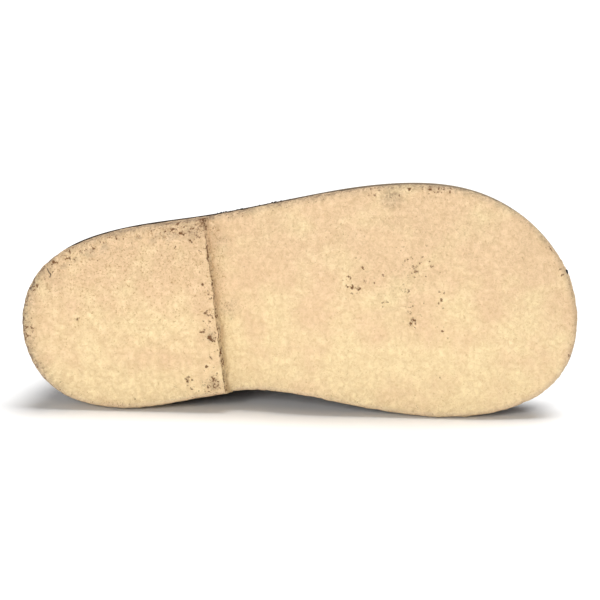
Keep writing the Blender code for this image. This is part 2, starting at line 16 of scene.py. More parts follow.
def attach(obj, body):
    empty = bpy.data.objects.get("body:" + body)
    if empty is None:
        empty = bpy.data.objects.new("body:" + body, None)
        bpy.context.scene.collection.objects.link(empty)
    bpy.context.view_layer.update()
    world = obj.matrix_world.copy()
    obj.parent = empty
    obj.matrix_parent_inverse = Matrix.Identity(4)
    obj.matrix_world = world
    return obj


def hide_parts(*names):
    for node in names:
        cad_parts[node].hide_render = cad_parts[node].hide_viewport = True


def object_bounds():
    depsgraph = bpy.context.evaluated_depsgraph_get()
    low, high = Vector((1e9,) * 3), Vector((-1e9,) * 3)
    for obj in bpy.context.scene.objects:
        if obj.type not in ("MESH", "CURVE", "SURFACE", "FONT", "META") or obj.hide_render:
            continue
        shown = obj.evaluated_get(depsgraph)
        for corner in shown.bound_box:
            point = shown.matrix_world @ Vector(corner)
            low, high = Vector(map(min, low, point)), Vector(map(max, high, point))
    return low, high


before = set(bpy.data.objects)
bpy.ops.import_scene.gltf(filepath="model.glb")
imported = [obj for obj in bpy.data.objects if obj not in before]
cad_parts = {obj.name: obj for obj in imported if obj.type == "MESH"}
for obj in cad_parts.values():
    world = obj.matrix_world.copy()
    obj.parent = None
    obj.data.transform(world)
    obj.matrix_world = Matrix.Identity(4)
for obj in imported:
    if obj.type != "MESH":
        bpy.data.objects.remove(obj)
CAD_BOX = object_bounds()
MM = 0.001

# How the shoe lies: which way is down in its own frame, and where its own origin comes to lie
DOWN = (-0.024757, 0.997234, 0.070076)
HEEL_ORIGIN = (-0.085011, -0.033939, 0.026841)

# Sizes shared with the solids
SOLE_LENGTH = 0.170
BALL_BREADTH = 0.0705
OUTSOLE_THICKNESS = 0.0050
HEEL_LIFT = 0.0050
TOE_SPRING = 0.0070
WALL = 0.0016
QUARTER_LAP = 0.0012
FLANGE_WIDTH = 0.0050
FLANGE_THICKNESS = 0.0018
FLANGE_OVERHANG = 0.0005
INSOLE_THICKNESS = 0.0022
TONGUE_THICKNESS = 0.0020
GAP = 0.0003
SEAT_END = 0.385 * SOLE_LENGTH
TREAD_START = 0.545 * SOLE_LENGTH
TREAD_END = 0.790 * SOLE_LENGTH
EDGE_ROUND = 0.0014
BREAST_SLOPE = 0.0013

# Samples of the outline, the step over which slopes are taken, and cells in the table of grain
OUTLINE_SAMPLES = 4000
SLOPE_STEP = 0.004
LATTICE = 32

SOLE_OUTLINE = (
    # landmark, along the length, across the ball's breadth (medial is positive)
    ("heel_back", 0.000, 0.026),
    ("heel_corner_lateral", 0.042, -0.245),
    ("heel_side_lateral", 0.137, -0.367),
    ("breast_lateral", 0.337, -0.446),
    ("waist_lateral", 0.499, -0.520),
    ("ball_lateral", 0.689, -0.581),
    ("toe_shoulder_lateral", 0.825, -0.542),
    ("toe_corner_lateral", 0.932, -0.381),
    ("toe_tip", 1.000, -0.009),
    ("toe_corner_medial", 0.963, 0.272),
    ("toe_shoulder_medial", 0.879, 0.384),
    ("ball_medial", 0.735, 0.413),
    ("fore_waist_medial", 0.572, 0.352),
    ("waist_medial", 0.445, 0.308),
    ("breast_medial", 0.369, 0.316),
    ("heel_side_medial", 0.191, 0.376),
    ("heel_corner_medial", 0.056, 0.290),
)

UPPER_SECTIONS = (
    # section, share, top x, top z, half gap, ridge y, medial rise, lean, bulge, low pull, top pull
    ("heel_back", 0.00, 0.0078, 0.0570, 0.0000, 0.0012, 0.0000, 86.0, 0.0052, 0.36, 0.36),
    ("heel_curve", 0.05, 0.0095, 0.0568, 0.0086, 0.0011, 0.0000, 86.0, 0.0051, 0.36, 0.36),
    ("heel_turn", 0.11, 0.0168, 0.0550, 0.0160, 0.0010, 0.0002, 84.0, 0.0048, 0.36, 0.36),
    ("ankle", 0.23, 0.0380, 0.0478, 0.0208, 0.0008, 0.0022, 80.0, 0.0040, 0.38, 0.36),
    ("collar_front", 0.32, 0.0570, 0.0550, 0.0184, 0.0004, 0.0012, 66.0, 0.0030, 0.40, 0.40),
    ("facing_top", 0.385, 0.0685, 0.0640, 0.0098, 0.0000, 0.0000, 36.0, 0.0024, 0.44, 0.52),
    ("facing_middle", 0.43, 0.0830, 0.0562, 0.0070, -0.0008, 0.0000, 22.0, 0.0020, 0.46, 0.54),
    ("throat", 0.48, 0.0985, 0.0478, 0.0052, -0.0018, 0.0000, 14.0, 0.0018, 0.48, 0.56),
    ("vamp", 0.62, 0.1180, 0.0398, 0.0045, -0.0032, 0.0000, 9.0, 0.0020, 0.52, 0.58),
    ("toe_box", 0.78, 0.1380, 0.0345, 0.0040, -0.0036, 0.0000, 8.0, 0.0024, 0.58, 0.60),
    ("toe_top", 0.91, 0.1510, 0.0305, 0.0024, -0.0024, 0.0000, 12.0, 0.0026, 0.60, 0.60),
    ("toe_tip", 1.00, 0.1560, 0.0284, 0.0000, -0.0010, 0.0000, 20.0, 0.0026, 0.60, 0.58),
)
SECTION_COLUMNS = (
    "share", "top_x", "top_z", "half_gap", "ridge_y", "medial_rise", "lean", "bulge",
    "low_pull", "top_pull",
)
QUARTER_EDGE = 0.48
QUARTER_STEP = 0.002
LAP_FADE = 0.20
LAP_LOSS = 0.75

EYELET_SHARES = (0.462, 0.432, 0.401)
EYELET_INSET = 0.0062
EYELET_FLANGE_RADIUS = 0.0031
EYELET_BARREL_RADIUS = 0.0021
EYELET_BORE_RADIUS = 0.0016
EYELET_FLANGE_RISE = 0.0006
EYELET_DEPTH = 0.0024
LACE_RADIUS = 0.0012
LACE_RISE = 0.0028
LACE_TURN = 0.0020
LACE_OVER_TONGUE = 0.0026
LACE_TAIL = 0.0022

TONGUE_FRONT = 0.56
TONGUE_TOP = 0.390
TONGUE_FREE_LENGTH = 0.012
TONGUE_ROUND = 0.5
TONGUE_SIDE = 0.0095
TONGUE_GAP = 0.0006
TONGUE_SINK = 0.0012

# Lint and dirt trodden into the crepe, where the photo shows it: x, y, size in mm, strength
HEEL_DIRT = (
    (17.3, -1.3, 0.4, 0.9), (5.0, -11.6, 0.5, 0.9), (10.3, -18.4, 0.5, 1.0),
    (11.8, -18.4, 0.4, 0.8), (15.4, -19.9, 0.5, 0.9), (15.7, -21.8, 0.5, 1.0),
    (18.9, -22.1, 0.5, 1.0), (23.3, -23.0, 0.6, 1.0), (30.3, -26.0, 0.5, 1.0),
    (1.1, 1.1, 0.5, 1.0), (1.0, 3.0, 0.5, 1.0), (1.3, 4.3, 0.5, 0.9), (46.0, -29.9, 0.5, 0.8),
    (47.8, -28.6, 0.5, 0.8), (49.7, -30.1, 0.5, 0.9), (50.8, -27.4, 0.9, 0.9),
    (52.4, -29.0, 0.5, 0.7), (53.1, -27.7, 0.6, 0.8), (55.0, -30.1, 0.5, 0.9),
    (55.8, -26.2, 0.6, 0.8), (56.3, -27.2, 0.4, 0.9), (57.1, -31.1, 0.9, 1.0),
    (57.3, -29.8, 0.7, 1.0), (58.0, -28.6, 0.5, 0.9), (48.4, -22.9, 0.3, 0.7),
    (58.1, -22.9, 0.3, 0.7), (56.1, -21.8, 0.3, 0.7), (56.8, -18.6, 0.3, 0.7),
    (56.5, -11.6, 0.5, 0.9), (58.5, -8.5, 0.6, 0.8), (57.5, -2.7, 0.6, 0.9),
    (58.2, -2.1, 0.4, 0.9), (59.7, -1.9, 0.4, 0.9), (58.8, -0.3, 0.5, 0.8),
    (58.9, 4.4, 0.7, 1.0), (58.4, 4.9, 0.8, 1.0), (60.1, 3.2, 0.4, 0.8), (60.0, 6.0, 0.4, 0.8),
    (60.8, 8.5, 0.4, 0.7), (59.0, 11.5, 0.5, 0.9), (57.1, 13.8, 0.5, 0.9),
    (51.1, 17.8, 0.7, 1.0), (59.4, 17.6, 0.6, 1.0), (58.9, 18.4, 0.5, 0.9),
    (60.3, 19.8, 1.1, 0.7), (57.7, 20.2, 0.5, 0.9), (56.9, 19.6, 0.4, 0.8),
    (55.9, 19.6, 0.4, 0.8), (55.8, 18.8, 0.4, 0.7), (54.7, 21.6, 0.4, 0.7),
    (50.0, 22.4, 0.5, 0.7), (50.4, 21.5, 0.4, 0.6), (11.2, 18.7, 0.4, 0.6),
    (28.7, 24.0, 0.4, 0.7), (35.6, 24.6, 0.4, 0.7),
)
TREAD_DIRT = (
    (106.1, -16.2, 0.5, 0.8), (102.0, -13.5, 0.5, 0.8), (103.8, -12.6, 0.4, 0.7),
    (101.4, -10.8, 0.5, 0.8), (102.9, -10.5, 0.6, 1.0), (104.7, -10.1, 0.6, 1.0),
    (106.6, -12.3, 0.6, 0.9), (109.6, -11.6, 0.4, 0.7), (112.4, -13.8, 0.5, 0.8),
    (118.4, -22.6, 0.4, 0.7), (124.4, -19.5, 0.5, 0.7), (118.9, -18.3, 0.6, 0.9),
    (123.1, -16.7, 0.4, 0.8), (121.9, -16.4, 0.7, 1.0), (122.2, -14.9, 0.6, 1.0),
    (128.6, -14.6, 0.4, 0.7), (118.7, -9.2, 0.5, 0.8), (120.2, -8.8, 0.4, 0.8),
    (129.9, -6.3, 0.6, 1.0), (124.7, -5.5, 0.4, 0.7), (121.1, -4.6, 0.5, 0.7),
    (112.9, -6.1, 0.6, 0.9), (121.3, -0.3, 0.7, 1.0), (120.4, 0.9, 0.6, 0.9),
    (130.1, 3.4, 0.5, 0.8), (110.2, -38.4, 0.5, 0.8), (120.8, -40.1, 0.5, 0.9),
    (124.8, -40.0, 0.5, 0.8), (127.2, -39.8, 0.5, 0.9), (129.6, -39.9, 0.5, 0.8),
    (132.9, -39.4, 0.5, 0.8), (130.5, -39.1, 0.4, 0.7), (154.3, -31.4, 0.5, 0.8),
    (164.0, -21.7, 0.5, 0.8), (168.3, -13.9, 0.7, 1.0), (168.0, 11.8, 0.5, 0.8),
    (129.2, 17.2, 0.4, 0.7), (121.4, 26.1, 0.5, 0.7), (61.8, 20.6, 0.5, 0.9),
    (61.2, 5.8, 0.4, 0.8),
)
# Broad stains on the crepe: x, y, radius in mm, strength
STAINS = (
    (54.0, -28.5, 5.0, 0.55), (115.6, -38.0, 5.0, 0.60), (118.0, -12.0, 14.0, 0.16),
    (59.5, 19.5, 3.0, 0.50), (58.8, 4.5, 2.2, 0.40), (64.0, -4.0, 4.0, 0.25),
    (62.0, -24.0, 5.0, 0.30), (8.0, -14.0, 8.0, 0.25),
)

# Colours of the photo's sole, a little darker than it shows them, as the light is strong
CREPE_YELLOW = "F4DEB0"
CREPE_PINK = "EDCEA7"
CREPE_TAN = "D3B285"
# painted shade for the crepe's pits and crevices
CREPE_PIT_SHADE = "AC8659"
# greyer tone for the rounded edge that faces the floor
CREPE_FLOOR_EDGE = "CDB59B"
# grey for grime, and for painted shade on the lateral side and under the flange
GRIME_AND_SHADE = "6E6052"
FLECK = "643E20"

# Flex creases over the vamp, left by a few wearings: middle x, y, half length, width, depth in mm
VAMP_CREASES = (
    (108.5, -2.0, 19.0, 2.0, 0.75),
    (115.0, -4.5, 23.0, 2.3, 0.95),
    (121.0, -3.0, 15.0, 1.9, 0.55),
)


def smoothstep(share):
    """Rises from 0 to 1 with level ends: 3 s^2 - 2 s^3, held outside."""
    share = np.clip(share, 0.0, 1.0)
    return share * share * (3.0 - 2.0 * share)


def unit(vectors):
    """Vectors divided by their own lengths."""
    return vectors / np.linalg.norm(vectors, axis=-1, keepdims=True)


def laid(points):
    """The shoe's own frame turned onto its medial side: forward keeps +X, DOWN becomes -Z."""
    down = unit(np.array(DOWN))
    forward = unit(np.array([1.0, 0.0, 0.0]) - down * down[0])
    turn = np.stack([forward, -np.cross(down, forward), -down])
    return points @ turn.T + np.array(HEEL_ORIGIN)


def run_along(points):
    """How far along its line each point is: the steps between neighbours added up."""
    steps = np.linalg.norm(np.diff(points, axis=-2), axis=-1)
    return np.concatenate([np.zeros_like(steps[..., :1]), np.cumsum(steps, axis=-1)], axis=-1)


def turns(count):
    """Angles at equal steps of a full turn."""
    return np.linspace(0.0, 2.0 * np.pi, count, endpoint=False)


def grain(points, size_mm, seed):
    """A smooth random field from 0 to 1 with lumps of a given size: random values on a lattice,
    blended along each axis by smoothstep."""
    table = np.random.default_rng(seed).random((LATTICE,) * 3)
    place = points / (size_mm * MM)
    cell = np.floor(place).astype(int)
    part = smoothstep(place - cell)
    total = np.zeros(points.shape[:-1])
    for corner in product((0, 1), repeat=3):
        index = (cell + corner) % LATTICE
        weight = np.where(corner, part, 1.0 - part).prod(axis=-1)
        total += weight * table[index[..., 0], index[..., 1], index[..., 2]]
    return total


def wave(points, size_mm, seed):
    """The same field about its middle, from -0.5 to 0.5."""
    return grain(points, size_mm, seed) - 0.5


def closed_spline(points, samples):
    """Points at equal steps of a periodic cubic spline through the given ones, by chord length:
    the second derivatives solve the usual cyclic three-term system."""
    count = len(points)
    steps = np.linalg.norm(np.roll(points, -1, axis=0) - points, axis=1)
    before = np.roll(steps, 1)
    matrix = np.zeros((count, count))
    index = np.arange(count)
    matrix[index, index] = 2.0 * (before + steps)
    matrix[index, index - 1] = before
    matrix[index, (index + 1) % count] = steps
    slope = (np.roll(points, -1, axis=0) - points) / steps[:, None]
    bend = np.linalg.solve(matrix, 6.0 * (slope - np.roll(slope, 1, axis=0)))
    knots = np.concatenate([[0.0], np.cumsum(steps)])
    where = np.linspace(0.0, knots[-1], samples, endpoint=False)
    span = np.clip(np.searchsorted(knots, where, side="right") - 1, 0, count - 1)
    after, width = (span + 1) % count, steps[span][:, None]
    left = (where - knots[span])[:, None]
    right = width - left
    return (
        (bend[span] * right**3 + bend[after] * left**3) / (6.0 * width)
        + (points[span] / width - bend[span] * width / 6.0) * right
        + (points[after] / width - bend[after] * width / 6.0) * left
    )


def monotone_curve(knots, values, where, level_ends):
    """Piecewise cubic through the rows that never swings past them: each tangent is the weighted
    harmonic mean of the slopes beside it. At the ends it is level, or else 1.2 times the slope."""
    step = np.diff(knots)
    slope = np.diff(values) / step
    tangent = np.zeros(len(knots))
    same_way = slope[:-1] * slope[1:] > 0.0
    weight_a, weight_b = 2.0 * step[1:] + step[:-1], step[1:] + 2.0 * step[:-1]
    safe = np.where(same_way, slope[:-1] * slope[1:], 1.0)
    mean = (weight_a + weight_b) * safe / (weight_a * slope[1:] + weight_b * slope[:-1] + 1e-30)
    tangent[1:-1] = np.where(same_way, mean, 0.0)
    if not level_ends:
        tangent[0], tangent[-1] = 1.2 * slope[0], 1.2 * slope[-1]
    span = np.clip(np.searchsorted(knots, where, side="right") - 1, 0, len(step) - 1)
    part = (where - knots[span]) / step[span]
    near = (1.0 + 2.0 * part) * (1.0 - part) ** 2 * values[span]
    near = near + part * (1.0 - part) ** 2 * step[span] * tangent[span]
    far = part**2 * (3.0 - 2.0 * part) * values[span + 1]
    return near + far + part**2 * (part - 1.0) * step[span] * tangent[span + 1]


def wrapped(place):
    """Signed places on the outline brought back between -1 and 1, past the toe's tip."""
    return (np.asarray(place, float) + 1.0) % 2.0 - 1.0


class Outline:
    """The sole's edge in plan. A place on it is signed: from 0 at the heel's back to +1 at the
    toe's tip along the medial side, and to -1 along the lateral side, by arc length."""

    def __init__(self):
        names = [row[0] for row in SOLE_OUTLINE]
        points = np.array([[row[1] * SOLE_LENGTH, row[2] * BALL_BREADTH] for row in SOLE_OUTLINE])
        loop = closed_spline(points, OUTLINE_SAMPLES)
        tip = int(np.argmin(np.linalg.norm(loop - points[names.index("toe_tip")], axis=1)))
        lateral, medial = loop[: tip + 1], np.concatenate([loop[:1], loop[:tip - 1:-1]])
        self.sides = {}
        for sign, side in ((-1, lateral), (1, medial)):
            run = run_along(side)
            self.sides[sign] = (run / run[-1], side)
        self.points = dict(zip(names, points))

    def edge(self, place):
        """Points of the edge at signed places, which wrap past the toe's tip."""
        place = wrapped(place)
        found = np.empty(place.shape + (2,))
        for sign, (share, side) in self.sides.items():
            mine = (place >= 0.0) if sign > 0 else (place < 0.0)
            for axis in (0, 1):
                found[mine, axis] = np.interp(np.abs(place[mine]), share, side[:, axis])
        return found

    def outward(self, place):
        """Unit vectors in plan, away from the sole: the edge's direction turned square."""
        along = self.edge(place + SLOPE_STEP) - self.edge(place - SLOPE_STEP)
        return unit(np.stack([-along[..., 1], along[..., 0]], axis=-1))

    def inset(self, place, distance):
        """The edge moved inwards by a distance, or outwards if it is negative."""
        distance = np.broadcast_to(distance, np.shape(place))
        return self.edge(place) - self.outward(place) * distance[..., None]

    def share_of(self, landmark):
        """Share of the way round its half outline at which a landmark lies."""
        point = self.points[landmark]
        share, side = self.sides[1 if point[1] > 0.0 else -1]
        return float(share[np.argmin(np.linalg.norm(side - point, axis=1))])


OUTLINE = Outline()


def underside(x):
    """Height of the outsole's underside: level heel seat, waist, level tread and toe spring."""
    waist = smoothstep((x - SEAT_END) / (TREAD_START - SEAT_END))
    toe = np.clip((x - TREAD_END) / (SOLE_LENGTH - TREAD_END), 0.0, None)
    return HEEL_LIFT * (1.0 - waist) + TOE_SPRING * toe**2


def bed(x):
    """Height at which upper and insole lie on the outsole."""
    return underside(x) + OUTSOLE_THICKNESS + GAP


def on_bed(plan, rise=0.0):
    """Points in plan lifted onto the outsole, plus a rise."""
    return np.concatenate([plan, (bed(plan[..., 0]) + rise)[..., None]], axis=-1)


def section(place):
    """The table of sections read between its rows, as a dict of arrays."""
    share = 1.0 - np.abs(1.0 - np.abs(np.asarray(place, float)))
    table = np.array([row[1:] for row in UPPER_SECTIONS])
    return {
        name: monotone_curve(table[:, 0], table[:, column], share, name != "half_gap")
        for column, name in enumerate(SECTION_COLUMNS)
    }


def side_of(place):
    """+1 on the medial side and -1 on the lateral side of a signed place that wraps at the toe."""
    return np.where(wrapped(place) >= 0.0, 1.0, -1.0)


def last_wall(place, height):
    """The last's surface: a cubic from the feather line (height 0) to the top line (height 1)
    that starts upright with a bulge and arrives at the section's lean from the horizontal."""
    place, height = np.broadcast_arrays(np.asarray(place, float), np.asarray(height, float))
    row, side = section(place), side_of(place)
    outward = OUTLINE.outward(place)
    foot = on_bed(OUTLINE.inset(place, FLANGE_WIDTH))
    top = np.stack(
        [
            row["top_x"],
            row["ridge_y"] + side * row["half_gap"],
            row["top_z"] + row["medial_rise"] * (side > 0.0),
        ],
        axis=-1,
    )
    rise = top[..., 2] - foot[..., 2]
    reach = np.linalg.norm(foot[..., :2] - top[..., :2], axis=-1)
    lean = np.radians(row["lean"])
    level = unit(foot[..., :2] - top[..., :2] + outward * FLANGE_WIDTH)
    low = foot.copy()
    low[..., :2] += outward * row["bulge"][..., None]
    low[..., 2] += row["low_pull"] * rise
    pull = row["top_pull"] * (np.cos(lean) * reach + np.sin(lean) * rise)
    high = top.copy()
    high[..., :2] += level * (np.cos(lean) * pull)[..., None]
    high[..., 2] -= np.sin(lean) * pull
    t = height[..., None]
    return (
        foot * (1.0 - t) ** 3 + low * 3.0 * t * (1.0 - t) ** 2
        + high * 3.0 * t**2 * (1.0 - t) + top * t**3
    )


def crown(share):
    """The line along the top of the last, between the two walls: over the top line by half the gap
    times the tangent of half the lean."""
    share = np.asarray(share, float)
    row = section(share)
    top = row["top_z"] + row["half_gap"] * np.tan(np.radians(row["lean"]) / 2.0)
    return np.stack([row["top_x"], row["ridge_y"], top], axis=-1)


def wall_normal(place, height):
    """Unit normals of the last's wall, away from the foot: its two slopes crossed."""
    low, high = (np.clip(height + step, 0.0, 1.0) for step in (-SLOPE_STEP, SLOPE_STEP))
    along = last_wall(place + SLOPE_STEP, height) - last_wall(place - SLOPE_STEP, height)
    up = last_wall(place, high) - last_wall(place, low)
    return unit(np.cross(up, along))


def crown_normal(share):
    """Unit normals along the crown: its direction crossed with straight across."""
    before, after = (np.clip(share + step, 0.0, 1.0) for step in (-SLOPE_STEP, SLOPE_STEP))
    along = crown(after) - crown(before)
    return unit(np.cross(along, np.broadcast_to([0.0, 1.0, 0.0], along.shape)))


def leather_at(share):
    """Thickness of the upper: the quarters lap over the vamp and thin out towards the heel."""
    lap = 1.0 - smoothstep((QUARTER_EDGE - share) / LAP_FADE) * LAP_LOSS
    return WALL + np.where(share < QUARTER_EDGE, QUARTER_LAP * lap, 0.0)


def below_top(place, distance):
    """Heights on the wall that lie a distance below the top line, measured along the leather."""
    heights = np.linspace(1.0, 0.0, 240)
    run = run_along(last_wall(np.asarray(place)[:, None], heights[None, :]))
    distance = np.broadcast_to(distance, len(run))
    return np.array([np.interp(far, row, heights) for far, row in zip(distance, run)])


def cells(rows, columns, start=0, wrap=False):
    """Quads between neighbouring points of a grid, whose columns can close on themselves."""
    index = np.arange(rows * columns).reshape(rows, columns) + start
    if wrap:
        index = np.concatenate([index, index[:, :1]], axis=1)
    quads = np.stack([index[:-1, :-1], index[1:, :-1], index[1:, 1:], index[:-1, 1:]], axis=-1)
    return quads.reshape(-1, 4)


def mesh_of(name, points, faces):
    """A mesh of points and lists of their numbers."""
    mesh = bpy.data.meshes.new(name)
    mesh.from_pydata(points.tolist(), [], faces)
    return mesh


def placed(name, data):
    """A new object in the scene."""
    made = bpy.data.objects.new(name, data)
    bpy.context.scene.collection.objects.link(made)
    return made


def shape(name, points, quads, finish, marks=None, sharp_deg=40.0):
    """A piece from points and quads, laid down but not below the floor: points closer than a micron
    are welded, faces that this closes up are dropped, and the rest turned outwards. marks are
    attributes by name."""
    _, first, where = np.unique(np.round(points, 6), axis=0, return_index=True, return_inverse=True)
    faces = where.reshape(-1)[np.concatenate([quads[:, [0, 1, 2]], quads[:, [0, 2, 3]]])]
    whole = (faces != np.roll(faces, -1, axis=1)).all(axis=1)
    places = laid(points[first])
    places[:, 2] = np.maximum(places[:, 2], 0.0)
    mesh = mesh_of(name, places, faces[whole].tolist())
    shell = bmesh.new()
    shell.from_mesh(mesh)
    bmesh.ops.recalc_face_normals(shell, faces=shell.faces)
    shell.to_mesh(mesh)
    shell.free()
    for mark, values in (marks or {}).items():
        mesh.attributes.new(mark, "FLOAT", "POINT").data.foreach_set(
            "value", np.ascontiguousarray(values[first], dtype=np.float32))
    mesh.shade_smooth()
    mesh.set_sharp_from_angle(angle=math.radians(sharp_deg))
    mesh.materials.append(finish)
    piece = placed(name, mesh)
    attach(piece, "root")
    return piece


def walled(name, under, over, finish, kept=None, marks=None):
    """A wall between two grids: the kept cells of both, joined by rims along every edge that
    belongs to one cell only, once points that coincide count as one."""
    quads = cells(*under.shape[:2])
    if kept is not None:
        quads = quads[kept.reshape(-1)]
    flat = under.reshape(-1, 3)
    same = np.unique(np.round(flat, 6), axis=0, return_inverse=True)[1].reshape(-1)
    edges = np.concatenate([quads[:, [0, 1]], quads[:, [1, 2]], quads[:, [2, 3]], quads[:, [3, 0]]])
    ends = np.sort(same[edges], axis=1)
    count = len(flat)
    codes, times = np.unique(ends[:, 0] * count + ends[:, 1], return_counts=True)
    once = np.isin(ends[:, 0] * count + ends[:, 1], codes[times == 1])
    rim = edges[once & (ends[:, 0] != ends[:, 1])]
    rims = np.concatenate([rim[:, ::-1], rim + count], axis=1)
    quads = np.concatenate([quads, quads[:, ::-1] + count, rims])
    marks = {mark: np.tile(values.reshape(-1), 2) for mark, values in (marks or {}).items()}
    return shape(name, np.concatenate([flat, over.reshape(-1, 3)]), quads, finish, marks)


# Finishes


def linear(hex_colour):
    """An sRGB hex colour as linear red, green, blue and alpha."""
    parts = [int(hex_colour[i:i + 2], 16) / 255.0 for i in (0, 2, 4)]
    return (*(p / 12.92 if p <= 0.04045 else ((p + 0.055) / 1.055) ** 2.4 for p in parts), 1.0)


class Finish:
    """A material in the making, with the few kinds of node that the finishes share. Each of these
    returns an output, and takes outputs, numbers or hex colours. Sizes of patterns are in mm."""

    def __init__(self, name):
        self.made = bpy.data.materials.new(name)
        self.made.use_nodes = True
        self.tree = self.made.node_tree
        self.place = self.add("TexCoord").outputs["Object"]

    def fill(self, node, inputs):
        """Links a node's sockets to outputs, or sets them."""
        for socket, value in inputs.items():
            if isinstance(value, bpy.types.NodeSocket):
                self.tree.links.new(value, node.inputs[socket])
            elif isinstance(value, str):
                node.inputs[socket].default_value = linear(value)
            else:
                node.inputs[socket].default_value = value

    def add(self, kind, inputs=None, **settings):
        """Adds a node: settings are its own properties, inputs its sockets' values or links."""
        node = self.tree.nodes.new("ShaderNode" + kind)
        for name, value in settings.items():
            setattr(node, name, value)
        self.fill(node, inputs or {})
        return node

    def mark(self, name):
        """One of the mesh's attributes."""
        return self.add("Attribute", attribute_name=name).outputs["Fac"]

    def noise(self, size, detail, roughness=0.5, distortion=0.0):
        """Cloudy noise from 0 to 1, with features of a size."""
        return self.add("TexNoise", {
            "Vector": self.place, "Scale": 1.0 / (size * MM), "Detail": detail,
            "Roughness": roughness, "Distortion": distortion}).outputs["Fac"]

    def spread(self, value, low, high, to_low=0.0, to_high=1.0, **settings):
        """A value between low and high, spread from to_low to to_high and held outside."""
        return self.add("MapRange", {
            "Value": value, "From Min": low, "From Max": high,
            "To Min": to_low, "To Max": to_high}, **settings).outputs[0]

    def times_plus(self, value, factor, plus=0.0):
        """value * factor + plus."""
        return self.add("Math", {0: value, 1: factor, 2: plus}, operation="MULTIPLY_ADD").outputs[0]

    def between(self, share, first, second):
        """The first number where the share is 0, the second where it is 1."""
        return self.add("Mix", {0: share, 2: first, 3: second}).outputs[0]

    def over(self, share, first, second):
        """The second colour laid over the first by a share."""
        return self.add("Mix", {0: share, 6: first, 7: second}, data_type="RGBA").outputs[2]

    def bump(self, height, strength, depth):
        """Normals tilted as a relief of this depth would tilt them."""
        return self.add("Bump", {
            "Height": height, "Strength": strength, "Distance": depth * MM}).outputs["Normal"]

    def surface(self, inputs):
        """Fills the material's shader, and gives the material back."""
        self.fill(self.tree.nodes["Principled BSDF"], inputs)
        return self.made


def crepe_rubber():
    """Natural crepe rubber: latex milled into a pebbly sheet. Dull cream with pinkish and yellower
    clouds, sandy specks, painted shade in pits well under a millimetre and in the crevices, brown
    dirt pressed in here and there, and grime mixed with painted shade."""
    finish = Finish("natural_crepe_rubber")
    hollow, dirt, grime_and_shade, rubbed, ruddy, heel_pit_shade = (
        finish.mark(name) for name in ("hollow", "dirt", "grime_and_shade", "rubbed", "ruddy", "heel_pit_shade"))
    clouds = finish.noise(11.0, 3.0)
    mottle = finish.noise(1.3, 5.0, 0.72, 0.9)
    dust = finish.noise(0.75, 3.0, 0.7)
    sand = finish.noise(0.62, 2.0, 0.6)
    # clouds, pinker to the lateral side, under a mottle of tan specks
    cloud = finish.spread(finish.times_plus(ruddy, 0.24, clouds), 0.48, 0.76)
    colour = finish.over(cloud, CREPE_YELLOW, CREPE_PINK)
    colour = finish.over(finish.spread(mottle, 0.36, 0.60, 0.52, 0.0), colour, CREPE_TAN)
    # painted shade in the pits, more and deeper on the heel, and in the crevices
    pit_shade_start, pit_shade_depth = finish.times_plus(heel_pit_shade, 0.09, 0.37), finish.times_plus(heel_pit_shade, 0.45, 0.50)
    colour = finish.over(finish.spread(sand, pit_shade_start, 0.26, 0.0, pit_shade_depth), colour, CREPE_PIT_SHADE)
    colour = finish.over(finish.times_plus(hollow, 0.22), colour, CREPE_PIT_SHADE)
    # grey stains that keep to the specks, mixed with painted shade, and a greyer rounded edge that
    # faces the floor
    specks = finish.spread(mottle, 0.60, 0.36, 0.35, 1.0)
    colour = finish.over(finish.times_plus(grime_and_shade, specks), colour, GRIME_AND_SHADE)
    colour = finish.over(rubbed, colour, CREPE_FLOOR_EDGE)
    # flecks of dirt with ragged edges, and dust where there is grime and painted shade
    ragged = finish.spread(dust, 0.32, 0.68, -0.50, 0.50)
    dusted = finish.times_plus(finish.spread(dust, 0.54, 0.70), grime_and_shade, dirt)
    fleck = finish.spread(finish.times_plus(dusted, 1.0, ragged), 0.38, 0.98, 0.0, 0.92,
                          interpolation_type="SMOOTHSTEP")
    return finish.surface({
        "Base Color": finish.over(fleck, colour, FLECK),
        "Normal": finish.bump(finish.times_plus(mottle, 1.6, sand), 0.60, 0.35),
        "Roughness": 0.85, "Specular IOR Level": 0.20})


def oiled_leather():
    """Full-grain cowhide, drum-dyed dark brown and oiled: fine pebbled grain about 0.9 mm, cloudy
    lighter pull-up where it has been handled, a low uneven sheen. Its cut edge is dull and dark,
    scuffed pale round the toe."""
    finish = Finish("oiled_brown_leather")
    cut = finish.mark("cut")
    clouds, fine = finish.noise(18.0, 5.0, 0.6), finish.noise(0.35, 4.0)
    pebbles = finish.add("TexVoronoi", {
        "Vector": finish.place, "Scale": 1.0 / (0.9 * MM), "Randomness": 1.0},
        feature="SMOOTH_F1").outputs["Distance"]
    colour = finish.over(finish.spread(clouds, 0.38, 0.68), "3A261B", "553A29")
    colour = finish.over(finish.spread(pebbles, 0.35, 0.75, 0.0, 0.55), colour, "24170F")
    along = finish.add("SeparateXYZ", {0: finish.place}).outputs["X"]
    edge = finish.over(finish.spread(along, -30.0 * MM, 45.0 * MM), "4A3F36", "A39480")
    sheen = finish.spread(clouds, 0.0, 1.0, 0.42, 0.62)
    return finish.surface({
        "Base Color": finish.over(cut, colour, edge),
        "Normal": finish.bump(finish.times_plus(pebbles, -1.0, fine), 0.30, 0.18),
        "Roughness": finish.between(cut, sheen, 0.95),
        "Specular IOR Level": finish.between(cut, 0.45, 0.02),
        "Coat Weight": finish.between(cut, 0.12, 0.0), "Coat Roughness": 0.35})


def lining_leather():
    """Undyed vegetable-tanned calf lining: tan, smooth, faintly mottled, with a soft dull face."""
    finish = Finish("tan_lining_leather")
    clouds = finish.spread(finish.noise(9.0, 5.0), 0.36, 0.66)
    return finish.surface({
        "Base Color": finish.over(clouds, "B98D63", "CFA67B"),
        "Normal": finish.bump(finish.noise(0.5, 3.0), 0.22, 0.12), "Roughness": 0.62})


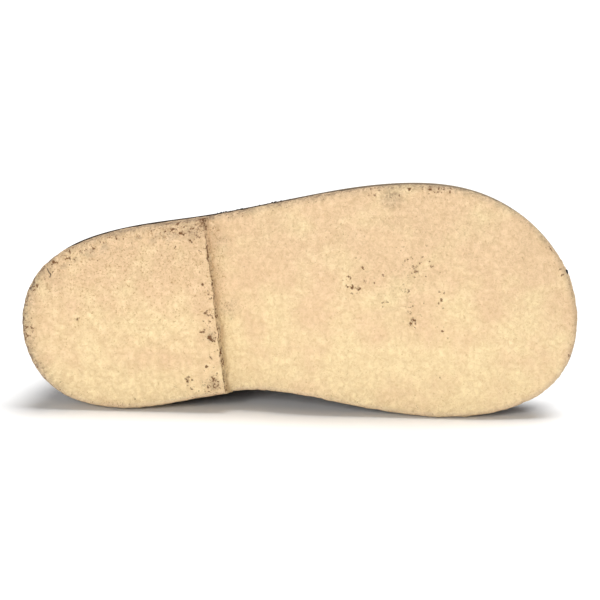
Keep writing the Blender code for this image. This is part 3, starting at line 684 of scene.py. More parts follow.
def waxed_cotton(name, dark, pale, strand):
    """Braided or twisted cotton, waxed: dull, with a lighter fuzz on the raised strands."""
    finish = Finish(name)
    fibres = finish.noise(strand, 3.0)
    return finish.surface({
        "Base Color": finish.over(finish.spread(fibres, 0.36, 0.66), dark, pale),
        "Normal": finish.bump(fibres, 0.30, 0.10),
        "Roughness": 0.78, "Sheen Weight": 0.10, "Sheen Roughness": 0.5})


def antique_brass():
    """Stamped brass, darkened in a bath and rubbed: warm brown metal, smoother and lighter in the
    patches that have been handled."""
    finish = Finish("antique_brass")
    rub = finish.noise(1.6, 4.0)
    return finish.surface({
        "Base Color": finish.over(finish.spread(rub, 0.38, 0.66), "5B4630", "8F6F45"),
        "Roughness": finish.spread(rub, 0.0, 1.0, 0.50, 0.30), "Metallic": 1.0})


# The crepe sole

CREPE_STEP = 0.42 * MM
SIDE_STEPS = 9
ROUND_STEPS = 5
HIDDEN_ROWS = 40
SHOWN_ROWS = 330
HEEL_ROWS = 175
HEEL_BREADTH = 56.0 * MM
HEEL_BACK = 22.0 * MM
HEEL_SEAM = 0.02 * MM
BREAST_X = 0.353 * SOLE_LENGTH
BREAST_FILLET = 2.8 * MM
FINE_LEAD = 0.02
EDGE_PLACES = 600

# Crumbs round every fleck: how many, how far off in mm, their size and strength beside the fleck's
CRUMBS = 6
CRUMB_SPREAD = 1.8
CRUMB_SIZE = 0.55
CRUMB_STRENGTH = (0.5, 0.95)
FLECK_GROWTH = 1.25


def crinkle(points):
    """Crepe's relief, 0 in its crevices to 1 on its lumps: narrow valleys run where a random field
    of 1.8 mm lumps crosses its middle."""
    field = grain(points + 0.5 * MM * grain(points, 1.2, 11)[..., None], 1.8, 5)
    return np.abs(2.0 * field - 1.0) ** 0.6


def at_heel_back(points):
    """1 at the back of the heel, falling to 0 over HEEL_BACK."""
    return smoothstep((HEEL_BACK - points[..., 0]) / HEEL_BACK)


def side_profile(thickness):
    """Half of a crepe layer's section: (inset, height share, outward lean) from the top edge down
    the cut side, in steps that widen, and round the lower edge to the tread. Lean is 0 sideways
    and a right angle downwards."""
    wall = 1.0 - (1.0 - EDGE_ROUND / thickness) * np.linspace(0.0, 1.0, SIDE_STEPS) ** 1.8
    angle = np.linspace(0.0, np.pi / 2.0, ROUND_STEPS + 1)[1:]
    inset = np.concatenate([np.zeros(SIDE_STEPS), EDGE_ROUND * (1.0 - np.cos(angle))])
    height = np.concatenate([wall, EDGE_ROUND / thickness * (1.0 - np.sin(angle))])
    return inset, height, np.concatenate([np.zeros(SIDE_STEPS), angle])


def crepe_layer(lateral, medial, top_of, bottom_of, lean_of, columns):
    """A crepe layer's skin as rows of points round its section: down the lateral side, across the
    tread and up the medial side. lean_of moves a row forward by a function of the height's share.
    Returns points, outward normals and the side's count of columns."""
    inset, height, lean = side_profile(float(top_of(np.zeros(1))[0] - bottom_of(np.zeros(1))[0]))
    sides, faced = [], []
    for place in (lateral, medial):
        grid = place[:, None] + np.zeros((1, len(inset)))
        plan = OUTLINE.inset(grid, inset[None, :])
        low, high = bottom_of(plan[..., 0]), top_of(plan[..., 0])
        plan[..., 0] += lean_of(height)
        sides.append(np.concatenate([plan, (low + (high - low) * height)[..., None]], axis=-1))
        out = OUTLINE.outward(grid) * np.cos(lean)[:, None]
        down = np.broadcast_to(-np.sin(lean)[:, None], grid.shape + (1,))
        faced.append(np.concatenate([out, down], axis=-1))
    across = np.linspace(0.0, 1.0, columns + 1)[None, 1:-1, None]
    plan = sides[0][:, -1:, :2] * (1.0 - across) + sides[1][:, -1:, :2] * across
    tread = np.concatenate([plan, bottom_of(plan[..., 0])[..., None]], axis=-1)
    down = np.broadcast_to([0.0, 0.0, -1.0], tread.shape)
    points = np.concatenate([sides[0], tread, sides[1][:, ::-1]], axis=1)
    normals = np.concatenate([faced[0], down, faced[1][:, ::-1]], axis=1)
    return points, normals, len(inset)


def roughened(points, normals):
    """Points pushed along their normals by crinkles, small lumps and the wave of a hand-cut edge,
    in mm. Cut sides stand out a little, most at the back of the heel."""
    cut = np.linalg.norm(normals[..., :2], axis=-1)
    push = 0.14 * (crinkle(points) - 0.65)
    push = push + 0.12 * wave(points, 1.0, 7) + 0.16 * wave(points, 8.0, 9)
    edge = 0.22 + 0.20 * at_heel_back(points)
    edge = edge + 0.30 * wave(points, 6.0, 3) + 0.25 * wave(points, 1.2, 4)
    return points + normals * (MM * (push + cut * edge))[..., None]


def from_edge(points):
    """Distance in plan from the sole's edge, in mm: the least over many places along it. The points
    are taken in parts, to spare memory."""
    edge = OUTLINE.edge(np.linspace(-1.0, 1.0, EDGE_PLACES))
    parts = [np.linalg.norm(part[:, None, :2] - edge[None], axis=-1).min(axis=1)
             for part in np.array_split(points, 80)]
    return np.concatenate(parts) / MM


def crumbs_round(flecks):
    """Small crumbs scattered round every fleck, at seeded places."""
    dice = np.random.default_rng(61)
    return [
        (x + dice.normal(0.0, CRUMB_SPREAD), y + dice.normal(0.0, CRUMB_SPREAD), CRUMB_SIZE * size,
         dice.uniform(*CRUMB_STRENGTH) * strength)
        for x, y, size, strength in flecks for _ in range(CRUMBS)]


def spotted(plan, spots, fade):
    """The strongest of many round spots at each point: strength times fade(distance / size)."""
    mark = np.zeros(len(plan))
    for x, y, size, strength in spots:
        far = np.hypot(plan[:, 0] - x * MM, plan[:, 1] - y * MM) / (size * MM)
        mark = np.maximum(mark, strength * fade(far))
    return mark


def crepe_marks(points, normals, flecks):
    """Attributes of the crepe: painted shade in its crevices, dirt at the flecks and crumbs, greyer
    on the rounded edge that faces the floor, ruddy to the lateral side. Grime and painted shade
    together are the strongest of broad stains, painted shade on the lateral side, which lies
    uppermost, a trodden band round the heel, a darker band along the tread's edge, a darker line
    at the heel's back, and the cut sides, with dirt and painted shade under the flange."""
    flat, facing = points.reshape(-1, 3), normals.reshape(-1, 3)
    x, y, inside = flat[:, 0] / MM, flat[:, 1] / MM, from_edge(flat)
    heel_back = at_heel_back(flat)
    lateral, forward = smoothstep((10.0 - y) / 45.0), smoothstep((x - 120.0) / 40.0)
    outer = np.maximum(lateral, 0.6 * heel_back)
    side = smoothstep(np.linalg.norm(facing[:, :2], axis=-1))
    below = smoothstep(facing[:, 1] / 0.5) * smoothstep(-facing[:, 2] / 0.4)
    patchy = 0.45 + 0.55 * grain(flat, 5.0, 31)
    wander = np.stack([wave(flat, 0.9, 21), wave(flat, 0.9, 22)], axis=-1)
    dirt = spotted(flat[:, :2] + 0.6 * MM * wander, (*flecks, *crumbs_round(flecks)),
                   lambda far: 1.0 - smoothstep((far / FLECK_GROWTH - 0.2) / 1.3))
    trodden = (y < 0.0) * np.exp(-((inside - 3.4) / 2.2) ** 2)
    trodden = trodden * smoothstep((grain(flat, 2.2, 33) - 0.25) / 0.5)
    trodden = trodden * smoothstep((x - 6.0) / 10.0) * smoothstep((64.0 - x) / 6.0)
    rim = np.exp(-inside / (1.5 + 0.9 * heel_back - 0.7 * forward))
    rim = rim * (0.5 + 0.5 * grain(flat, 1.6, 35))
    # the cut sides: dirt, and painted shade that deepens towards the flange above them, most on the
    # lateral side and at the heel's back
    base = np.where(flat[:, 0] < BREAST_X, 0.0, underside(flat[:, 0]))
    rise = (flat[:, 2] - base) / (underside(flat[:, 0]) + OUTSOLE_THICKNESS - base)
    cut_side = side * patchy * (0.30 + 2.4 * outer * (0.25 + 0.75 * rise)) * (1.0 - 0.65 * forward)
    # grime and painted shade: broad stains, painted shade on the lateral side, which lies
    # uppermost, the trodden band, a darker band along the tread's edge, a darker line at the heel's
    # back, and the cut sides
    grime_and_shade = np.max([
        spotted(flat, STAINS, lambda far: np.exp(-1.5 * far**2)),
        0.20 * lateral * patchy,
        0.50 * trodden,
        rim * (0.55 + 0.35 * outer + 0.45 * heel_back),
        2.2 * heel_back * np.exp(-inside / 0.8),
        cut_side,
    ], axis=0)
    return {
        "hollow": 1.0 - crinkle(flat),
        "dirt": dirt,
        "grime_and_shade": np.minimum(grime_and_shade, 0.9 + 1.6 * heel_back * (1.0 - side)),
        # greyer on the rounded edge that faces the floor
        "rubbed": 0.45 * below * patchy,
        "ruddy": smoothstep((22.0 - y) / 44.0),
    }


def make_outsole(crepe):
    """The outsole: fine where it shows, coarse and smooth under the heel lift, its top plain."""
    breast = OUTLINE.share_of("breast_lateral") - FINE_LEAD
    hidden, shown = np.linspace(0.0, breast, HIDDEN_ROWS), np.linspace(breast, 1.0, SHOWN_ROWS)
    shares = np.concatenate([hidden[:-1], shown])
    points, normals, side = crepe_layer(
        -shares, shares, lambda x: underside(x) + OUTSOLE_THICKNESS, underside,
        np.zeros_like, round(BALL_BREADTH / CREPE_STEP))
    marks = crepe_marks(points, normals, TREAD_DIRT)
    rough = roughened(points, normals)
    covered = np.s_[:HIDDEN_ROWS - 2, side:-side]
    rough[covered] = points[covered]
    quads = cells(*points.shape[:2], wrap=True)
    piece = shape("crepe_outsole", rough.reshape(-1, 3), quads, crepe, marks)
    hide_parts("outsole")


def breast_fillet(height):
    """How far the breast's foot stands forward at a share of the heel's height: a quarter circle
    that runs out level onto the outsole."""
    up = np.clip(1.0 - (1.0 - height) * HEEL_LIFT / BREAST_FILLET, 0.0, 1.0)
    return BREAST_FILLET * (1.0 - np.sqrt(1.0 - up**2))


def heel_breast(last, side, columns):
    """The heel's breast, from its last row: straight lines between the two cut sides, bent to meet
    the tread's edge, with a fillet at the foot and torn lumps. Returns points and attributes."""
    across = np.linspace(0.0, 1.0, columns + 1)[None, :, None]
    fade = np.linspace(0.0, 1.0, side)[:, None, None]
    breast = last[:side, None] * (1.0 - across) + last[::-1][:side, None] * across
    breast = breast + (last[side - 1:len(last) - side + 1] - breast[-1])[None] * fade**4
    bow = np.sin(np.pi * across[..., 0])
    middle = bow > 1e-6
    height = side_profile(HEEL_LIFT)[1][:, None]
    breast[..., 0] += breast_fillet(height) * smoothstep(6.0 * bow * middle)
    lumps = 0.55 * wave(breast, 1.1, 43) + 0.35 * wave(breast, 2.6, 44)
    breast[..., 0] += MM * lumps * np.sin(np.pi * fade[..., 0]) * middle
    marks = crepe_marks(breast, np.broadcast_to([0.0, 0.0, -1.0], breast.shape), HEEL_DIRT)
    # the breast is darker towards the tread's edge, and crusted with dirt there
    edge = smoothstep((0.95 - height) / 0.75) * (0.25 + 0.75 * grain(breast, 1.3, 45))
    crust = smoothstep((0.50 - height) / 0.35) * smoothstep((grain(breast, 0.8, 46) - 0.30) / 0.3)
    marks["grime_and_shade"] = np.maximum(marks["grime_and_shade"], 0.75 * edge.reshape(-1))
    marks["dirt"] = np.maximum(marks["dirt"], 0.85 * crust.reshape(-1))
    return breast, marks


def make_heel(crepe):
    """The heel lift. Its breast leans forward and runs out onto the outsole in a fillet, which dies
    away at both ends, and its edge is torn a little unevenly."""
    lateral, medial = (OUTLINE.share_of(name) for name in ("breast_lateral", "breast_medial"))
    steps = np.linspace(0.0, 1.0, HEEL_ROWS)
    columns = round(HEEL_BREADTH / CREPE_STEP)
    points, normals, side = crepe_layer(
        -steps * lateral, steps * medial, lambda x: np.full(x.shape, HEEL_LIFT - HEEL_SEAM),
        np.zeros_like, lambda height: steps[:, None] ** 10 * BREAST_SLOPE * height, columns)
    torn = 0.5 * wave(points, 5.0, 41) + 0.6 * wave(points, 0.8, 42) + 0.6 * wave(points, 1.9, 47)
    points[..., 0] += MM * torn * steps[:, None] ** 60
    marks = crepe_marks(points, normals, HEEL_DIRT)
    # deeper painted shade in the heel's crevices
    marks["hollow"] = 1.4 * marks["hollow"]
    rough = roughened(points, normals)
    breast, more = heel_breast(rough[-1], side, columns)
    marks = {name: np.concatenate([marks[name], more[name]]) for name in marks}
    # more painted shade in the heel's pits, as much as the heel is pinker
    marks["heel_pit_shade"] = marks["ruddy"]
    rows, wide = points.shape[:2]
    skin, front = cells(rows, wide, wrap=True), cells(side, columns + 1, start=rows * wide)
    quads = np.concatenate([skin, front])
    both = np.concatenate([rough.reshape(-1, 3), breast.reshape(-1, 3)])
    piece = shape("crepe_heel", both, quads, crepe, marks)
    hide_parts("heel")


# The upper

FLANGE_SET_BACK = 0.6 * MM
HEEL_LIP = 0.2 * MM
RIM_ROUND = 0.25 * MM
# Faces of the outer leather and of the lining, as shares of the upper's thickness from the foot
LEATHER_FACES = (0.34, 1.0)
LINING_FACES = (0.02, 0.32)
REAR_ROWS, FRONT_ROWS = 110, 90
LEATHER_COLUMNS, LINING_COLUMNS = 46, 24
TONGUE_ROWS, TONGUE_FREE_ROWS, TONGUE_COLUMNS = 50, 15, 11
INSOLE_ROWS, INSOLE_COLUMNS = 90, 31
HOLE_SIDES = 24
# A direction that no eyelet's axis has, to start its spokes from
ASIDE = (0.31, 0.57, 0.76)


def creased(points, normals):
    """The vamp's flex creases: soft troughs across it, each with a low ridge on either side."""
    move = np.zeros(points.shape[:-1])
    for x, y, half, width, depth in VAMP_CREASES:
        across = (points[..., 1] - y * MM) / (half * MM)
        bow = x * MM - 4.0 * MM * across**2
        far = (points[..., 0] - bow) / (width * MM)
        fade = np.exp(-across**4) * smoothstep((points[..., 2] - 22.0 * MM) / (10.0 * MM))
        move -= depth * MM * fade * (np.exp(-far**2) - 0.45 * np.exp(-(np.abs(far) - 1.9) ** 2))
    return points + normals * move[..., None]


def upper_grid(rows, columns, near, far):
    """The upper's two faces, near and far from the foot by these shares of its thickness: flange,
    wall up to the top line with its rim rounded, and the crown over the vamp. The third array
    tells which cells are kept: there is no crown behind the throat."""
    leather = leather_at(rows)
    heights = np.concatenate([np.linspace(0.0, 1.0, columns), [1.0]])
    rear = rows < QUARTER_EDGE - 0.5 * QUARTER_STEP
    rim = np.concatenate([np.zeros(columns), [1.0]]) * rear[:, None]
    back = FLANGE_SET_BACK * smoothstep((rows - 0.72) / 0.20)
    lip = FLANGE_OVERHANG + HEEL_LIP * smoothstep((0.22 - rows) / 0.12)
    faces = {near: [], far: []}
    for side in (1.0, -1.0):
        place, height = np.meshgrid(side * rows, heights, indexing="ij")
        wall, normal = last_wall(place, height), wall_normal(place, height)
        up = unit(wall - last_wall(place, height - 0.02))
        for depth, sides in faces.items():
            eased = depth + (0.5 - depth) * 0.45 * rim
            face = creased(wall, normal) + normal * (eased * leather[:, None])[..., None]
            face = face + up * (rim * RIM_ROUND)[..., None]
            rise = FLANGE_THICKNESS * (depth if depth == far else 0.02)
            edge = on_bed(OUTLINE.inset(side * rows, back - lip), rise)
            face[:, 0] = on_bed(OUTLINE.inset(side * rows, FLANGE_WIDTH - depth * leather), rise)
            sides.append(np.concatenate([edge[:, None], face], axis=1))
    ridge, lift = crown(rows), crown_normal(rows)
    grids = []
    for depth, (medial, lateral) in faces.items():
        middle = creased(ridge, lift) + lift * (depth * leather)[:, None]
        grids.append(np.concatenate([medial, middle[:, None], lateral[:, ::-1]], axis=1))
    kept = np.ones((len(rows) - 1, grids[0].shape[1] - 1), bool)
    centre = len(heights) + 1
    kept[rows[1:] <= QUARTER_EDGE + 1e-9, centre - 1:centre + 1] = False
    return grids[0], grids[1], kept


def upper_rows(rear, front):
    """Shares of the upper's rows, with two rows close together where the quarters end."""
    ahead = QUARTER_EDGE + (1.0 - QUARTER_EDGE) * np.linspace(0.0, 1.0, front) ** 0.9
    return np.concatenate([np.linspace(0.0, QUARTER_EDGE - QUARTER_STEP, rear), ahead])


def eyelet_seat(side, share):
    """Where an eyelet sits: the point on the upper's outer face, and the axis of its bore."""
    place = np.array([side * share])
    height = below_top(place, EYELET_INSET)
    axis = wall_normal(place, height)[0]
    return last_wall(place, height)[0] + axis * leather_at(np.array([share]))[0], axis


def eyelet_seats():
    """The seats of all eyelets, medial ones first."""
    return [eyelet_seat(side, share) for side, share in product((1.0, -1.0), EYELET_SHARES)]


def spokes(axis, count):
    """Unit vectors square to an axis, at equal turns about it."""
    first = unit(np.cross(axis, ASIDE))
    turn = turns(count)[:, None]
    return np.cos(turn) * first + np.sin(turn) * np.cross(axis, first)


def eyelet_hole(point, axis):
    """A cylinder through the upper, a little wider than the eyelet's barrel."""
    ring = point + spokes(axis, HOLE_SIDES) * (EYELET_BARREL_RADIUS + 0.5 * GAP)
    points = np.concatenate([ring - axis * 5.0 * MM, ring + axis * 4.0 * MM])
    ends = np.arange(2 * HOLE_SIDES).reshape(2, HOLE_SIDES)
    faces = cells(2, HOLE_SIDES, wrap=True).tolist() + [ends[0, ::-1].tolist(), ends[1].tolist()]
    return placed("hole", mesh_of("hole", laid(points), faces))


def make_upper(leather, lining):
    """The outer leather and its lining, each a closed wall, with a hole for every eyelet."""
    rows = upper_rows(REAR_ROWS, FRONT_ROWS)
    under, over, kept = upper_grid(rows, LEATHER_COLUMNS, *LEATHER_FACES)
    cut = np.zeros(under.shape[:2])
    cut[:, [0, -1]] = 1.0
    outer = walled("upper_leather", under, over, leather, kept, {"cut": cut})
    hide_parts("upper")
    under, over, kept = upper_grid(rows[::2], LINING_COLUMNS, *LINING_FACES)
    kept[:, [0, -1]] = False
    inner = walled("upper_lining", under, over, lining, kept)
    holes = [eyelet_hole(*seat) for seat in eyelet_seats()]
    for piece in (outer, inner):
        for hole in holes:
            bore = piece.modifiers.new("hole", "BOOLEAN")
            bore.object = hole
            bore.operation = "DIFFERENCE"
            bore.solver = "EXACT"
        solid = bpy.data.meshes.new_from_object(
            piece.evaluated_get(bpy.context.evaluated_depsgraph_get()))
        piece.modifiers.clear()
        piece.data = solid
        solid.name = piece.name
    for hole in holes:
        bpy.data.objects.remove(hole, do_unlink=True)


def make_tongue(leather):
    """The tongue: it follows the last under the facings, sinks a little towards its top, and stands
    free there with a rounded end, short of its middle at the sides by the cube of the width."""
    shares = np.linspace(TONGUE_FRONT, TONGUE_TOP, TONGUE_ROWS)
    sides = []
    for side in (1.0, -1.0):
        low = below_top(side * shares, TONGUE_SIDE)[:, None]
        height = low + (1.0 - low) * np.linspace(0.0, 1.0, TONGUE_COLUMNS)[None, :]
        grid = side * shares[:, None] + np.zeros((1, TONGUE_COLUMNS))
        sides.append(np.stack([last_wall(grid, height), wall_normal(grid, height)]))
    ridge = np.stack([crown(shares), crown_normal(shares)])[:, :, None]
    points, normals = np.concatenate([sides[0], ridge, sides[1][:, :, ::-1]], axis=2)
    free = unit(points[-1] - points[-4]).mean(axis=0)
    top, centre = points[-1], points[-1].mean(axis=0)
    run = run_along(top)
    across = 1.0 - 2.0 * run / run[-1]
    reach = TONGUE_FREE_LENGTH * (1.0 - TONGUE_ROUND * np.abs(across) ** 3)
    reach = reach - (top - top[len(top) // 2]) @ free
    step = np.linspace(0.0, 1.0, TONGUE_FREE_ROWS)[1:, None, None]
    narrow = np.concatenate([step**0, 1.0 - 0.05 * step, step**0], axis=-1)
    rows = centre + (top - centre)[None] * narrow
    points = np.concatenate([points, rows + free * step * reach[None, :, None]])
    normals = np.concatenate([normals, np.repeat(normals[-1:], len(rows), axis=0)])
    long, wide = np.arange(points.shape[0]), np.arange(points.shape[1])
    sunk = np.interp(long, [0, TONGUE_ROWS - 1, long[-1]], [0.0, 0.73, 1.0])
    sink = TONGUE_SINK * sunk[:, None, None]
    edge = np.minimum(wide, wide[::-1])[None, :, None]
    thin = 0.5 * MM * (np.minimum(edge, long[::-1, None, None]) == 0)
    over = points - normals * (TONGUE_GAP + sink + thin)
    under = points - normals * (TONGUE_GAP + sink + TONGUE_THICKNESS - thin)
    piece = walled("tongue_leather", under, over, leather)
    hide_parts("tongue")


def make_insole(lining):
    """The insole: a board inside the feather line, its face dished a little towards the middle."""
    shares = 0.5 - 0.5 * np.cos(np.pi * np.linspace(0.0, 1.0, INSOLE_ROWS))
    across = np.linspace(0.0, 1.0, INSOLE_COLUMNS)[None, :, None]
    sides = [OUTLINE.inset(place, FLANGE_WIDTH + GAP) for place in (-shares, shares)]
    plan = sides[0][:, None] * (1.0 - across) + sides[1][:, None] * across
    dish = 0.6 * MM * np.sin(np.pi * across[..., 0]) ** 0.7
    edge = 0.4 * MM * (np.abs(across[..., 0] - 0.5) > 0.499)
    over = on_bed(plan, INSOLE_THICKNESS - (dish + edge))
    piece = walled("insole_board", on_bed(plan), over, lining)
    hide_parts("insole")


# Stitches, eyelets and lace

# Pitch and width of stitches, and the shares of the pitch at which they begin and end
FLANGE_STITCH = (3.0 * MM, 0.75 * MM)
SEAM_STITCH = (2.1 * MM, 0.5 * MM)
STITCH_ENDS = (0.10, 0.90)
STITCH_RINGS, STITCH_AROUND = 7, 8
STITCH_CAP = ((0, 1, 2, 3), (0, 3, 4, 7), (4, 5, 6, 7))
FLANGE_STITCH_INSET = 1.9 * MM
COLLAR_STITCH_INSET = 2.0 * MM
# Half the outline's length, which turns a distance along it into a share
HALF_OUTLINE = 0.205
# Upright seams: share of the half outline, lowest and highest place on the wall, points
UPRIGHT_SEAMS = (
    (QUARTER_EDGE - 1.7 * MM / HALF_OUTLINE, 0.07, 0.965, 90),
    (QUARTER_EDGE - 3.4 * MM / HALF_OUTLINE, 0.07, 0.965, 90),
    (0.0075, 0.06, 0.90, 60),
)
LACE_STRANDS = 4
LACE_PITCH = 3.2 * MM
LACE_AROUND = 36
EYELET_AROUND = 36


def copies(quads, count, points):
    """The quads of a small grid repeated for a row of such grids, of so many points each."""
    return (quads[None] + (np.arange(count) * points)[:, None, None]).reshape(-1, 4)


def stitch_row(points, normals, pitch, width):
    """Stitches along a line: each is a thread half sunk in its holes, thick in the middle, round in
    section, over the middle four fifths of its pitch. Returns an array of grids."""
    run = run_along(points)
    count = max(2, round(run[-1] / pitch))

    def read(values, part):
        where = (np.arange(count) + part) / count
        return np.stack([np.interp(where, run / run[-1], column) for column in values.T], axis=-1)

    begin, end = (read(points, part)[:, None, None] for part in STITCH_ENDS)
    lift = unit(read(normals, 0.5))[:, None, None]
    beside = unit(np.cross(end - begin, lift))
    along = np.linspace(0.0, 1.0, STITCH_RINGS)[None, :, None, None]
    turn = turns(STITCH_AROUND)[None, None, :, None]
    thick = 0.5 * width * np.sqrt(1.0 - np.abs(2.0 * along - 1.0) ** 3.0 + 1e-4)
    arch = 0.30 * width * (1.0 - (2.0 * along - 1.0) ** 2)
    line = begin + (end - begin) * along
    return line + lift * (arch + thick * np.cos(turn)) + beside * thick * np.sin(turn)


def make_stitches(name, rows, thread):
    """All rows of one kind as one mesh of many small closed grids."""
    grids = np.concatenate(rows)
    count, long, around = grids.shape[:3]
    caps = np.array(STITCH_CAP)
    last = (long - 1) * around
    quads = np.concatenate([cells(long, around, wrap=True), caps, caps[:, ::-1] + last])
    quads = copies(quads, count, long * around)
    piece = shape(name, grids.reshape(-1, 3), quads, thread, sharp_deg=80.0)


def outer_line(place, height):
    """A line on the upper's outer face, with its normals."""
    normal = wall_normal(place, height)
    return last_wall(place, height) + normal * leather_at(np.abs(place))[:, None], normal


def make_all_stitches(thread):
    """Flange, quarter edges, facings, collar and back seam, in the pitch each one has."""
    line = on_bed(OUTLINE.inset(np.linspace(-1.0, 1.0, 500), FLANGE_STITCH_INSET), FLANGE_THICKNESS)
    flange = stitch_row(line, np.broadcast_to([0.0, 0.0, 1.0], line.shape), *FLANGE_STITCH)
    seams = []
    for side in (1.0, -1.0):
        lines = [(np.full(count, side * share), np.linspace(low, high, count))
                 for share, low, high, count in UPRIGHT_SEAMS]
        collar = side * np.linspace(0.004, QUARTER_EDGE - 0.012, 160)
        lines.append((collar, below_top(collar, COLLAR_STITCH_INSET)))
        seams += [stitch_row(*outer_line(*line), *SEAM_STITCH) for line in lines]
    make_stitches("flange_stitches", [flange], thread)
    make_stitches("upper_stitches", seams, thread)


def make_eyelets(brass):
    """Six eyelets: a rolled flange and a barrel, turned about each bore's axis."""
    roll = np.linspace(0.0, np.pi, 9)
    middle = 0.5 * (EYELET_FLANGE_RADIUS + EYELET_BORE_RADIUS)
    half = 0.5 * (EYELET_FLANGE_RADIUS - EYELET_BORE_RADIUS)
    radius = np.concatenate([middle + half * np.cos(roll), [EYELET_BORE_RADIUS] * 2,
                             [EYELET_BARREL_RADIUS] * 2])
    height = np.concatenate([0.5 * GAP + (EYELET_FLANGE_RISE + 0.5 * GAP) * np.sin(roll),
                             [-0.5 * EYELET_DEPTH, -EYELET_DEPTH], [-EYELET_DEPTH, 0.5 * GAP]])
    rings = []
    for point, axis in eyelet_seats():
        spoke = spokes(axis, EYELET_AROUND)
        ring = point + spoke[:, None] * radius[None, :, None] + axis * height[None, :, None]
        rings.append(np.concatenate([ring, ring[:1]]))
    grids = np.array(rings)
    count, around, high = grids.shape[:3]
    quads = copies(cells(around, high, wrap=True), count, around * high)
    piece = shape("eyelets", grids.reshape(-1, 3), quads, brass)
    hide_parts(*[f"eyelet_{side}_{n}" for side in ("medial", "lateral") for n in (1, 2, 3)])


def smooth_path(knots, spacing):
    """A Catmull-Rom curve through the knots, with points about this far apart."""
    ends = np.concatenate([2.0 * knots[:1] - knots[1:2], knots, 2.0 * knots[-1:] - knots[-2:-1]])
    line = [knots[:1]]
    for before, here, there, after in zip(ends, ends[1:], ends[2:], ends[3:]):
        count = max(2, round(float(np.linalg.norm(there - here)) / spacing))
        t = (np.arange(1, count + 1) / count)[:, None]
        line.append(0.5 * (2.0 * here + (there - before) * t
                           + (2.0 * before - 5.0 * here + 4.0 * there - after) * t**2
                           + (3.0 * here - before - 3.0 * there + after) * t**3))
    return np.concatenate(line)


def lace_knots(share):
    """The route of one bar: out of a bore, over the facing's edge, across the tongue and back."""
    middle = crown(np.array([share]))[0] + crown_normal(np.array([share]))[0] * LACE_OVER_TONGUE
    ends = []
    for side in (1.0, -1.0):
        point, axis = eyelet_seat(side, share)
        towards = middle - point
        towards = unit(towards - axis * towards.dot(axis))
        place, top = np.array([side * share]), np.array([1.0])
        clear = leather_at(np.array([share]))[0] + LACE_RADIUS + 2.0 * GAP
        over = (last_wall(place, top) + wall_normal(place, top) * clear)[0]
        ends.append([point - axis * LACE_TAIL, point, point + axis * 0.5 * LACE_RISE,
                     point + axis * LACE_RISE + towards * LACE_TURN, over])
    return np.array(ends[0] + [middle] + ends[1][::-1])


def swept(path, radius, around):
    """A tube along a path: rings square to it, of a radius given for each point and turn, and a
    point to close each end. Returns a grid of rings."""
    tangent = unit(np.gradient(path, axis=0))
    across = unit(np.cross(tangent, [1.0, 0.05, 0.02]))
    third = np.cross(tangent, across)
    turn = turns(around)[None, :, None]
    ring = np.cos(turn) * across[:, None] + np.sin(turn) * third[:, None]
    tube = path[:, None] + ring * np.broadcast_to(radius, ring.shape[:2])[..., None]
    caps = [np.repeat(path[end][None, None], around, axis=1) for end in (0, -1)]
    return np.concatenate([caps[0], tube, caps[1]])


def braid(path):
    """The lace's radius along its path: it swells where one of two opposite sets of helical strands
    lies on top."""
    strand = LACE_STRANDS * turns(LACE_AROUND)
    phase = 2.0 * np.pi * run_along(path)[:, None] / LACE_PITCH
    plait = np.maximum(np.cos(strand + phase), np.cos(strand - phase))
    return LACE_RADIUS * (0.90 + 0.10 * np.clip(plait, -0.2, 1.0))


def make_lace(cotton):
    """Three bars of one round braided lace, each ending in the eyelets' bores."""
    points, quads, start = [], [], 0
    for share in EYELET_SHARES:
        path = smooth_path(lace_knots(share), 0.22 * MM)
        grid = swept(path, braid(path), LACE_AROUND)
        points.append(grid.reshape(-1, 3))
        quads.append(cells(len(grid), LACE_AROUND, start=start, wrap=True))
        start += len(points[-1])
    points, quads = np.concatenate(points), np.concatenate(quads)
    piece = shape("braided_lace", points, quads, cotton, sharp_deg=70.0)
    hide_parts("lace_bar_1", "lace_bar_2", "lace_bar_3")


# A hair on the heel, dark lint caught on the edge between sole and upper, and a crumb at the toe

HAIR = ((8.3, -16.9), (8.9, -15.6), (9.4, -15.0), (9.0, -14.1))
HAIR_RADIUS = 0.11 * MM
LINT_SPAN = (58.0, 84.0)
LINT_COUNT = 26
LINT_SIZE = (0.15, 0.38)
CRUMB_PLACE = -0.936
CRUMB_RADII = (0.55, 0.95, 0.7)
BALL_RINGS, BALL_AROUND = 6, 8


